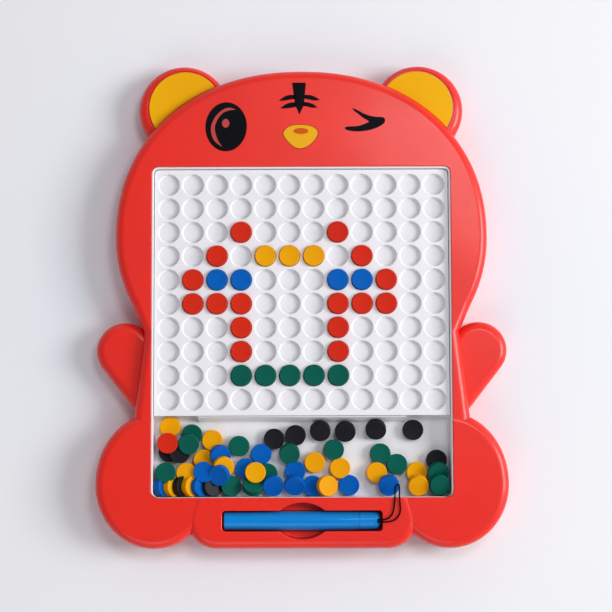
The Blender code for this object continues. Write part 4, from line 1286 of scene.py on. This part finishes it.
PICTURE = {
    3: {4: R, 8: R},
    4: {3: R, 5: Y, 6: Y, 7: Y, 9: R},
    5: {2: R, 3: B, 4: B, 8: B, 9: B, 10: R},
    6: {2: R, 3: R, 4: R, 8: R, 9: R, 10: R},
    7: {4: R, 8: R},
    8: {4: R, 8: R},
    9: {4: G, 5: G, 6: G, 7: G, 8: G},
}

HEAPS = {
    "discs_upper_left": (
        (-0.9, 0.565, 0, 0, 0, K),
        (-0.891, 0.865, 0, 0, 0, Y),
        (-0.744, 0.772, 0, 0, 0, G),
        (-0.828, 0.55, 0.1, 12, 330, K),
        (-0.905, 0.668, 0.95, 0, 0, R),
        (-0.762, 0.66, 0.6, 16, 260, G),
    ),
    "discs_lower_left": (
        (-0.932, 0.138, 0, 50, 0, B),
        (-0.87, 0.138, 0, 50, 0, Y),
        (-0.809, 0.138, 0, 50, 0, K),
        (-0.748, 0.138, 0, 48, 0, Y),
        (-0.684, 0.138, 0, 44, 0, B),
        (-0.606, 0.138, 0, 30, 0, K),
        (-0.48, 0.138, 0, 12, 0, G),
        (-0.606, 0.701, 0, 0, 0, Y),
        (-0.552, 0.52, 0, 22, 305, B),
        (-0.917, 0.3, 0.9, 16, 90, G),
        (-0.778, 0.295, 0.5, 10, 90, Y),
        (-0.663, 0.462, 0, 0, 0, Y),
        (-0.661, 0.31, 0.9, 8, 90, B),
        (-0.53, 0.377, 0.44, 20, 320, Y),
        (-0.556, 0.275, 0.97, 22, 230, B),
    ),
    "disc_green_middle": ((-0.425, 0.629, 0, 0, 0, G),),
    "discs_centre_left": (
        (-0.381, 0.352, 0, 0, 0, B),
        (-0.236, 0.29, 0, 0, 0, G),
        (-0.332, 0.138, 0, 38, 80, G),
        (-0.196, 0.144, 0.22, 22, 280, B),
        (-0.314, 0.305, 0.95, 0, 0, Y),
        (-0.275, 0.53, 0.02, 0, 0, B),
        (-0.188, 0.716, 0.04, 0, 0, K),
    ),
    "discs_centre": (
        (0.07, 0.138, 0, 0, 0, B),
        (-0.047, 0.318, 0.02, 0, 0, B),
        (-0.052, 0.15, 0.12, 30, 270, B),
        (0.168, 0.138, 0.18, 22, 0, Y),
        (-0.085, 0.535, 0, 22, 270, G),
        (-0.044, 0.76, 0, 0, 0, K),
    ),
    "disc_black_first": ((0.123, 0.815, 0, 20, 270, K),),
    "disc_black_second": ((0.292, 0.806, 0, 15, 270, K),),
    "disc_black_third": ((0.498, 0.83, 0, 28, 270, K),),
    "disc_black_fourth": ((0.75, 0.821, 0, 0, 0, K),),
    "disc_yellow_middle": ((0.085, 0.425, 0, 0, 0, Y),),
    "discs_centre_right": (
        (0.316, 0.145, 0, 0, 0, B),
        (0.256, 0.355, 0.02, 0, 0, Y),
        (0.214, 0.58, 0.04, 0, 0, G),
    ),
    "discs_right": (
        (0.528, 0.53, 0, 0, 0, G),
        (0.64, 0.4, 0.02, 0, 0, G),
        (0.502, 0.3, 0.04, 0, 0, Y),
        (0.583, 0.144, 0.36, 20, 270, B),
    ),
    "discs_right_yellow": (
        (0.773, 0.3, 0, 0, 0, Y),
        (0.782, 0.144, 0.36, 20, 270, Y),
    ),
    "discs_right_corner": (
        (0.926, 0.142, 0, 0, 0, K),
        (0.908, 0.45, 0, 0, 0, K),
        (0.917, 0.3, 0.42, 20, 270, G),
        (0.926, 0.15, 0.99, 16, 270, G),
    ),
}


@dataclass
class Discs:
    """The loose discs: the picture's in their cells, the rest in the tray."""

    radius: float = 6.5 * MM
    thickness: float = 4.5 * MM
    edge: float = 0.55 * MM
    edge_steps: int = 4
    rim: float = 0.5 * MM
    slope: float = 0.22 * MM
    dish: float = 0.16 * MM
    steps: int = 44

    def profile(self) -> list[Point]:
        """A half profile about the middle of the thickness: a dished face in a round rim."""
        half = self.thickness / 2
        upper = []
        for c, s in quarter(self.edge_steps):
            upper.append((self.radius - self.edge * (1 - c), half - self.edge * (1 - s)))
        inner = self.radius - self.edge - self.rim
        upper += [(inner, half), (inner - self.slope, half - self.dish), (0, half - self.dish)]
        lower = [(radius, -height) for radius, height in upper]
        return lower[::-1] + upper

    def disc(self, name: str, colour: DiscColour, place: Matrix, node: str) -> None:
        """Makes one disc where it lies, on the body named like its node."""
        made = new_object(name, turned(self.profile(), self.steps))
        made.data.transform(place)
        dress(made, colour.value, node, node, sharp=50)

    def lying(self, disc: Lying) -> Matrix:
        """Where a loose disc lies, with its low side as many discs above the floor as its lift."""
        tilt, toward = math.radians(disc.tilt), math.radians(disc.toward)
        half_height = self.radius * math.sin(tilt) + self.thickness / 2 * math.cos(tilt)
        depth = PLAN.step_y - PLAN.window_bottom
        centre = (
            disc.across * PLAN.mouth_half,
            PLAN.window_bottom + disc.along * depth,
            PLAN.tray_floor + CLEAR + disc.lift * self.thickness + half_height,
        )
        turn = Quaternion((-math.sin(toward), math.cos(toward), 0), tilt)
        return Matrix.Translation(centre) @ turn.to_matrix().to_4x4()

    def build(self) -> None:
        """Makes every disc."""
        board = Board()
        middle = PLAN.sheet_top + CLEAR + self.thickness / 2
        for row, discs in PICTURE.items():
            for column, colour in discs.items():
                node = f"disc_row{row}_column{column}"
                x, y = board.cell(column, row)
                self.disc(f"counter_r{row}_c{column}", colour, Matrix.Translation((x, y, middle)), node)
        for node, discs in HEAPS.items():
            for index, values in enumerate(discs, 1):
                disc = Lying(*values)
                self.disc(f"{node}_{index}", disc.colour, self.lying(disc), node)


@dataclass
class FacePrint:
    """The printed face: thin pads of ink on the flat of the head, in millimetres."""

    ink: float = 0.1
    inner_share: float = 0.93
    oval_steps: int = 64
    eye: tuple[float, float, float, float, float] = (-47.41, 112.39, 13.13, 15.73, -3.0)
    dot: tuple[float, float, float, float, float] = (-47.7, 114.6, 2.3, 2.8, 0.0)
    nostril: tuple[float, float, float, float, float] = (-0.05, 109.48, 4.73, 1.93, 0.0)
    crescent: tuple[Point, ...] = (
        (-41.31, 123.39), (-44.8, 124.5), (-48.53, 123.84), (-52.68, 120.74), (-55.57, 116.56),
        (-57.06, 111.95), (-56.56, 106.91), (-54.32, 102.72), (-49.51, 99.18), (-52.08, 102.71),
        (-53.91, 107.32), (-54.58, 112.11), (-52.92, 116.97), (-49.61, 121.15), (-45.46, 122.82),
    )
    blaze: tuple[Point, ...] = (
        (-5.51, 140.6), (3.21, 140.57), (2.52, 132.74), (1.83, 126.43), (0.41, 123.08),
        (-1.01, 119.97), (-2.24, 123.09), (-3.48, 126.45), (-4.54, 132.76),
    )
    stripes: tuple[tuple[Point, ...], ...] = (
        (
            (-3.71, 132.76), (-7.44, 132.61), (-10.77, 131.44), (-14.09, 128.93),
            (-9.94, 129.17), (-6.62, 129.83), (-3.71, 130.07),
        ),
        (
            (2.35, 132.74), (5.84, 132.56), (9.16, 131.37), (12.13, 129.26),
            (8.32, 129.1), (5.0, 129.79), (2.35, 130.22),
        ),
        (
            (-3.31, 128.13), (-6.63, 127.72), (-9.95, 126.56), (-13.02, 124.05),
            (-9.12, 124.12), (-5.8, 124.53), (-2.9, 125.19),
        ),
        (
            (1.67, 128.12), (4.58, 127.85), (7.89, 126.66), (10.7, 124.47),
            (7.05, 124.48), (4.15, 125.16), (1.5, 125.59),
        ),
    )
    nose: tuple[Point, ...] = (
        (-0.45, 113.84), (4.11, 113.49), (7.84, 112.56), (10.57, 110.45), (11.3, 107.93),
        (9.88, 104.58), (6.97, 101.24), (3.23, 98.74), (-0.5, 97.84), (-4.22, 98.77),
        (-7.94, 101.71), (-10.66, 105.08), (-11.82, 107.76), (-10.82, 110.27), (-8.16, 112.61),
        (-4.59, 113.61),
    )
    wink: tuple[Point, ...] = (
        (32.6, 124.14), (36.08, 122.7), (39.8, 120.67), (43.94, 119.14), (48.08, 118.46),
        (51.81, 118.28), (53.29, 117.01), (53.03, 114.91), (50.94, 112.91), (47.62, 111.24),
        (43.05, 109.92), (38.9, 109.26), (33.93, 109.19), (29.38, 109.96), (27.56, 111.4),
        (29.39, 112.23), (33.53, 112.38), (37.43, 112.95), (40.59, 114.12), (43.09, 115.54),
        (39.78, 117.65), (36.07, 120.68), (33.59, 122.54),
    )

    @staticmethod
    def eased(points: Sequence[Point], corners: Iterable[int] = (), steps: int = 5) -> list[Point]:
        """Draws a smooth closed line through points.

        Args:
            points: The line's own points.
            corners: Which of them stay pointed.
            steps: New points for each stretch.

        Returns:
            The points of the smooth line.
        """
        flat = [Vector(point) for point in points]
        sharp = set(corners)
        found = []
        count = len(flat)
        for index in range(count):
            here, ahead = flat[index], flat[(index + 1) % count]
            before = here if index in sharp else flat[index - 1]
            after = ahead if (index + 1) % count in sharp else flat[(index + 2) % count]
            found += [tuple(spline(before, here, ahead, after, step / steps)) for step in range(steps)]
        return found

    def oval(self, shape: tuple[float, float, float, float, float]) -> list[Point]:
        """The outline of an oval from its middle, half sizes and lean in degrees."""
        x, y, half_width, half_height, lean = shape
        turn = math.radians(lean)
        found = []
        for step in range(self.oval_steps):
            angle = 2 * math.pi * step / self.oval_steps
            a, b = half_width * math.cos(angle), half_height * math.sin(angle)
            moved = a * math.cos(turn) - b * math.sin(turn), a * math.sin(turn) + b * math.cos(turn)
            found.append((x + moved[0], y + moved[1]))
        return found

    def mark(self, name: str, outlines: Sequence[list[Point]], layer: int, finish: Finish) -> None:
        """Prints one mark: flat ink on the head or on an earlier layer."""
        low = PLAN.torso_top + (layer - 1) * self.ink * MM
        bm = bmesh.new()
        for outline in outlines:
            push_face(bm, [(x * MM, y * MM, low) for x, y in outline], (0, 0, self.ink * MM))
        dress(new_object(name, bm), finish, "case", sharp=40)

    def build(self) -> None:
        """Prints the open eye, the forehead's blaze and stripes, the nose and the wink."""
        self.mark("print_eye", [self.oval(self.eye)], 1, INK_BLACK)
        self.mark("print_eye_crescent", [self.eased(self.crescent, (0, 8))], 2, INK_ROSE)
        self.mark("print_eye_glint", [self.oval(self.dot)], 2, INK_ROSE)
        self.mark("print_blaze", [self.eased(self.blaze, (0, 1, 5))], 1, INK_BLACK)
        stripes = [self.eased(stripe, (0, 3, 6)) for stripe in self.stripes]
        self.mark("print_stripes", stripes, 1, INK_BLACK)
        self.mark("print_nose_line", [self.eased(self.nose)], 1, INK_RUST)
        middle = Vector((sum(x for x, _ in self.nose), sum(y for _, y in self.nose))) / len(self.nose)
        inner = [tuple(middle + (Vector(point) - middle) * self.inner_share) for point in self.nose]
        self.mark("print_nose", [self.eased(inner)], 2, INK_YELLOW)
        self.mark("print_nostril", [self.oval(self.nostril)], 3, INK_BROWN)
        self.mark("print_wink", [self.eased(self.wink, (0, 14))], 1, INK_BLACK)


CORD_ROUTE = (
    (-0.0019, 0.00065, 0.00450),
    (-0.0012, 0.00065, 0.00551),
    (-0.0005, 0.00065, 0.00655),
    (0.0001, 0.00065, 0.00711),
    (0.0008, 0.00066, 0.00745),
    (0.0016, 0.00070, 0.00753),
    (0.0027, 0.00088, 0.00740),
    (0.0039, 0.00130, 0.00722),
    (0.0054, 0.00220, 0.00712),
    (0.0069, 0.00390, 0.00712),
    (0.0078, 0.00640, 0.00712),
    (0.0083, 0.00940, 0.00712),
    (0.0086, 0.01240, 0.00715),
    (0.0088, 0.01510, 0.00700),
    (0.0089, 0.01720, 0.00555),
    (0.0089, 0.01924, 0.00414),
    (0.0090, 0.02015, 0.00387),
    (0.0093, 0.02105, 0.00393),
    (0.0097, 0.02181, 0.00430),
    (0.0103, 0.02230, 0.00493),
    (0.0108, 0.02247, 0.00573),
    (0.0112, 0.02227, 0.00656),
    (0.0115, 0.02174, 0.00731),
    (0.0115, 0.02096, 0.00786),
    (0.0115, 0.01934, 0.00860),
    (0.0115, 0.01560, 0.00820),
    (0.0117, 0.01260, 0.00740),
    (0.0120, 0.00940, 0.00712),
    (0.0121, 0.00620, 0.00712),
    (0.0112, 0.00350, 0.00712),
    (0.0095, 0.00130, 0.00712),
    (0.0072, 0.00000, 0.00712),
    (0.0049, -0.00055, 0.00716),
    (0.0027, -0.00065, 0.00740),
    (0.0016, -0.00065, 0.00753),
    (0.0008, -0.00065, 0.00745),
    (0.0001, -0.00065, 0.00711),
    (-0.0005, -0.00065, 0.00655),
    (-0.0012, -0.00065, 0.00551),
    (-0.0019, -0.00065, 0.00450),
)


@dataclass
class Pen:
    """The magnetic pen in its bay, with the black cord through its tail."""

    radius: float = 5.9 * MM
    waist: float = 0.3 * MM
    full_half: float = 14 * MM
    rings: int = 24
    end: float = 48.95 * MM
    tip_round: float = 0.7 * MM
    bore_lip: float = 0.2 * MM
    cap_start: float = 35.45 * MM
    cap_round: float = 3.8 * MM
    cap_lip: float = 0.1 * MM
    seam: float = 0.08 * MM
    seam_round: float = 0.35 * MM
    wall: float = 1.6 * MM
    magnet_radius: float = 3.5 * MM
    magnet_length: float = 5 * MM
    magnet_edge: float = 0.3 * MM
    spigot: float = 6 * MM
    slot_depth: float = 0.8 * MM
    slot_half_width: float = 0.8 * MM
    slot_half_length: float = 1.45 * MM
    slot_corner: float = 0.7 * MM
    slot_lip: float = 0.15 * MM
    slot_lean: float = 35
    cord_radius: float = 0.47 * MM
    cord_step: float = 0.6 * MM
    cord_sides: int = 12
    steps: int = 64

    def lay(
        self, name: str, profile: Sequence[Point], finish: Finish, node: str, *cuts: bpy.types.Object
    ) -> None:
        """Turns a profile along the pen, lays it in the bay with its tail to the right and cuts it."""
        made = new_object(name, turned(profile, self.steps))
        place = Matrix.Translation((0, PLAN.pen_y, PLAN.pen_axis))
        made.data.transform(place @ Matrix.Rotation(math.pi / 2, 4, "Y"))
        combine(made, *(("DIFFERENCE", cut) for cut in cuts))
        dress(made, finish, "pen", node, sharp=35)

    def barrel(self) -> None:
        """The hollow barrel, a little fuller in the middle, with the magnet in its flat end."""
        bore = self.magnet_radius + CLEAR
        back = -self.end + self.magnet_length + CLEAR
        slim = self.radius - self.waist
        inner = slim - self.wall
        profile = [(0, back), (bore, back)]
        profile += [(bore, -self.end + self.bore_lip), (bore + self.bore_lip, -self.end)]
        for c, s in quarter(4):
            profile.append((slim - self.tip_round * (1 - s), -self.end + self.tip_round * (1 - c)))
        first, last = -self.end + self.tip_round, self.cap_start - self.seam
        for ring in range(1, self.rings):
            along = first + (last - self.cap_lip - first) * ring / self.rings
            share = max(0.0, min(1.0, (last - abs(along)) / (last - self.full_half)))
            profile.append((slim + self.waist * math.sin(math.pi / 2 * share), along))
        for angle in (0, 0.4, 0.8, 1.2, math.pi / 2):
            inward, down = 1 - math.cos(angle), 1 - math.sin(angle)
            profile.append((slim - self.seam_round * inward, last - self.seam_round * down))
        profile += [(inner, last), (inner, back + self.wall), (0, back + self.wall)]
        self.lay("pen_body", profile, PEN_PLASTIC, "pen_barrel")
        front = -self.end + CLEAR
        magnet = (
            (0, front),
            (self.magnet_radius - self.magnet_edge, front),
            (self.magnet_radius, front + self.magnet_edge),
            (self.magnet_radius, back - CLEAR),
            (0, back - CLEAR),
        )
        self.lay("pen_tip_magnet", magnet, PLATED_STEEL, "pen_magnet")

    def cap(self) -> None:
        """The tail cap: a plug in the barrel, a shoulder and a round end."""
        slim = self.radius - self.waist
        inner = slim - self.wall - CLEAR
        profile = [
            (0, self.cap_start - self.spigot),
            (inner, self.cap_start - self.spigot),
            (inner, self.cap_start),
            (slim - self.cap_lip, self.cap_start),
            (slim, self.cap_start + self.cap_lip),
        ]
        for c, s in quarter(12):
            profile.append((slim - self.cap_round * (1 - c), self.end - self.cap_round * (1 - s)))
        profile.append((0, self.end))
        self.lay("pen_tail", profile, PEN_PLASTIC, "pen_tail_cap", self.slot())

    def slot(self) -> bpy.types.Object:
        """A cutter for the slot in the tail's round shoulder that the cord comes out of."""
        long = self.slot_half_length
        plan = rectangle(self.slot_half_width, -long, long, self.slot_corner)
        low, lip = self.cap_round - self.slot_depth, self.cap_round
        slot = lofted("slot", plan, mouth_profile(low, lip, self.slot_lip, lip + OVERRUN, 3))
        height = PLAN.pen_axis + self.radius - self.waist - self.cap_round
        shoulder = Matrix.Translation((self.end - self.cap_round, PLAN.pen_y, height))
        slot.data.transform(shoulder @ Matrix.Rotation(math.radians(self.slot_lean), 4, "Y"))
        return slot

    @staticmethod
    def smooth_route(points: Sequence[Vector], step: float) -> list[Vector]:
        """Points at even steps along a smooth curve through a route's own points."""
        padded = [points[0] * 2 - points[1], *points, points[-1] * 2 - points[-2]]
        fine = []
        for a, b, c, d in zip(padded, padded[1:], padded[2:], padded[3:]):
            fine += [spline(a, b, c, d, i / 20) for i in range(20)]
        fine.append(points[-1])
        lengths = [0.0]
        for before, after in zip(fine, fine[1:]):
            lengths.append(lengths[-1] + (after - before).length)
        count = max(2, round(lengths[-1] / step))
        route, at = [], 0
        for i in range(count + 1):
            goal = lengths[-1] * i / count
            while at < len(lengths) - 2 and lengths[at + 1] < goal:
                at += 1
            span = lengths[at + 1] - lengths[at]
            route.append(fine[at].lerp(fine[at + 1], (goal - lengths[at]) / span))
        return route

    def lanyard(self) -> None:
        """The thin black cord: a limp loop whose two ends go into the pen's tail."""
        tail = Vector((self.end, PLAN.pen_y, PLAN.pen_axis))
        route = self.smooth_route([tail + Vector(point) for point in CORD_ROUTE], self.cord_step)
        bm = bmesh.new()
        map_ = bm.loops.layers.uv.new("UVMap")
        sides = self.cord_sides
        angles = [2 * math.pi * i / sides for i in range(sides)]
        up = Vector((0, 0, 1))
        rings: list[Ring] = []
        for index, point in enumerate(route):
            ahead = (route[min(index + 1, len(route) - 1)] - route[max(index - 1, 0)]).normalized()
            across = ahead.cross(up).normalized()
            up = across.cross(ahead).normalized()
            hoop = [point + self.cord_radius * (across * math.cos(a) + up * math.sin(a)) for a in angles]
            if not rings:
                rings.append([bm.verts.new(place) for place in hoop])
                continue
            ring = raise_ring(bm, rings[-1], [(place.x, place.y) for place in hoop], 0)
            for vert, place in zip(ring, hoop):
                vert.co = place
            rings.append(ring)
        number = {vert: (row, column) for row, ring in enumerate(rings) for column, vert in enumerate(ring)}
        for face in bm.faces:
            columns = [number[loop.vert][1] for loop in face.loops]
            wraps = max(columns) - min(columns) > 1
            for loop in face.loops:
                row, column = number[loop.vert]
                turn = 1.0 if wraps and column == 0 else column / sides
                loop[map_].uv = (turn, row / (len(rings) - 1))
        bm.faces.new(rings[0])
        bm.faces.new(rings[-1])
        cord = dress(new_object("pen_cord", bm), CORD_BRAID, "pen", "pen_lanyard", sharp=60)

    def build(self) -> None:
        """Makes the barrel, its magnet and the tail cap."""
        self.barrel()
        self.cap()


@dataclass
class Studio:
    """The camera, the pale floor and the light."""

    distance: float = 1.1
    tilt: float = 4.75
    roll: float = -0.2
    target: tuple[float, float, float] = (0.0028, -0.0018, 0.0244)
    lens: float = 102.94
    floor_colour: Colour = (0.875, 0.89, 0.90)
    painted_cool_colour: Colour = (0.81, 0.86, 0.905)
    zenith: float = 0.135
    horizon: float = 0.84
    dim: float = 0.55
    sky: Colour = (0.98, 0.945, 1.03)
    near: float = 140 * MM
    far: float = 230 * MM
    drift: float = 0.985

    def camera(self) -> None:
        """Looks down on the board, a little from the feet."""
        data = bpy.data.cameras.new("camera")
        data.sensor_width = 36
        data.lens = self.lens
        data.clip_start = 0.01
        made = bpy.data.objects.new("camera", data)
        bpy.context.scene.collection.objects.link(made)
        lean = math.radians(self.tilt)
        made.location = Vector(self.target) + self.distance * Vector((0, -math.sin(lean), math.cos(lean)))
        turn = Matrix.Rotation(lean, 4, "X") @ Matrix.Rotation(math.radians(self.roll), 4, "Z")
        made.rotation_euler = turn.to_euler()
        bpy.context.scene.camera = made

    def floor(self) -> None:
        """A wide pale floor with the faintest paper grain, painted cooler near the board against the red
        light that the case's lit wall throws onto it.
        """
        bm = bmesh.new()
        bmesh.ops.create_grid(bm, x_segments=8, y_segments=8, size=4)
        floor = new_object("floor", bm)
        made = bpy.data.materials.new("floor_paper")
        made.use_nodes = True
        links = Links(made.node_tree)
        shader = made.node_tree.nodes["Principled BSDF"]
        shader.inputs["Roughness"].default_value = 0.9
        shader.inputs["Specular IOR Level"].default_value = 0.1
        place = links.node("TexCoord").outputs["Object"]
        cloud = links.node("TexNoise", Vector=place, Scale=3.0, Detail=2.0)
        mask = links.spread(cloud.outputs["Fac"], 0.35, 0.65)
        darker = tuple(part * self.drift for part in self.floor_colour)
        paper = links.blend(mask, (*self.floor_colour, 1), (*darker, 1))
        # Painted light: near the board the floor is tinted cooler, which cancels the red light bounced onto
        # it from the case.
        reach = links.node("VectorMath", operation="LENGTH", Vector=place).outputs["Value"]
        painted_cool = links.spread(reach, self.near, self.far, 1.0, 0.0)
        links.feed(shader, "Base Color", links.blend(painted_cool, paper, (*self.painted_cool_colour, 1)))
        floor.data.materials.append(made)

    def lamp(self, name: str, place: tuple[float, float, float], size: float, power: float) -> None:
        """Hangs a square soft lamp that looks at the middle of the board."""
        data = bpy.data.lights.new(name, "AREA")
        data.shape = "SQUARE"
        data.size = size
        data.energy = power
        made = bpy.data.objects.new(name, data)
        bpy.context.scene.collection.objects.link(made)
        made.location = place
        made.rotation_euler = (-Vector(place)).to_track_quat("-Z", "Y").to_euler()

    def light(self) -> None:
        """A soft key from the right, a weak fill, and a sky that is palest low on the key's side."""
        self.lamp("key", (1.985, 0.139, 1.342), 1.05, 42.0)
        self.lamp("sheen", (0.30, 0.34, 1.22), 0.35, 3.3)
        self.lamp("fill", (-0.3, -1.2, 1.1), 1.0, 4.6)
        world = bpy.data.worlds.new("studio")
        bpy.context.scene.world = world
        world.use_nodes = True
        links = Links(world.node_tree)
        shader = world.node_tree.nodes["Background"]
        place = links.node("TexCoord").outputs["Generated"]
        parts = links.node("SeparateXYZ", Vector=place).outputs
        level = links.spread(parts[2], 0.0, 1.0, self.horizon, self.zenith)
        aside = links.spread(links.maths("ADD", parts[0], parts[1]), -1.2, 0.2, self.dim, 1.0)
        shader.inputs["Color"].default_value = (*self.sky, 1)
        links.feed(shader, "Strength", links.maths("MULTIPLY", level, aside))

    def build(self) -> None:
        """Makes the floor and the light, and keeps the colours as they are written."""
        self.floor()
        self.light()
        bpy.context.scene.view_settings.view_transform = "Standard"


def main() -> None:
    """Builds the studio's camera and the cord first, then every sub-assembly."""
    logging.basicConfig(level=logging.INFO, format="%(name)s: %(message)s")
    studio = Studio()
    studio.camera()
    pen = Pen()
    pen.lanyard()
    for part in (pen, Case(), Screws(), Pan(), Board(), Discs(), FacePrint(), studio):
        part.build()
        LOG.info("%s done", type(part).__name__)


if __name__ == "__main__":
    main()
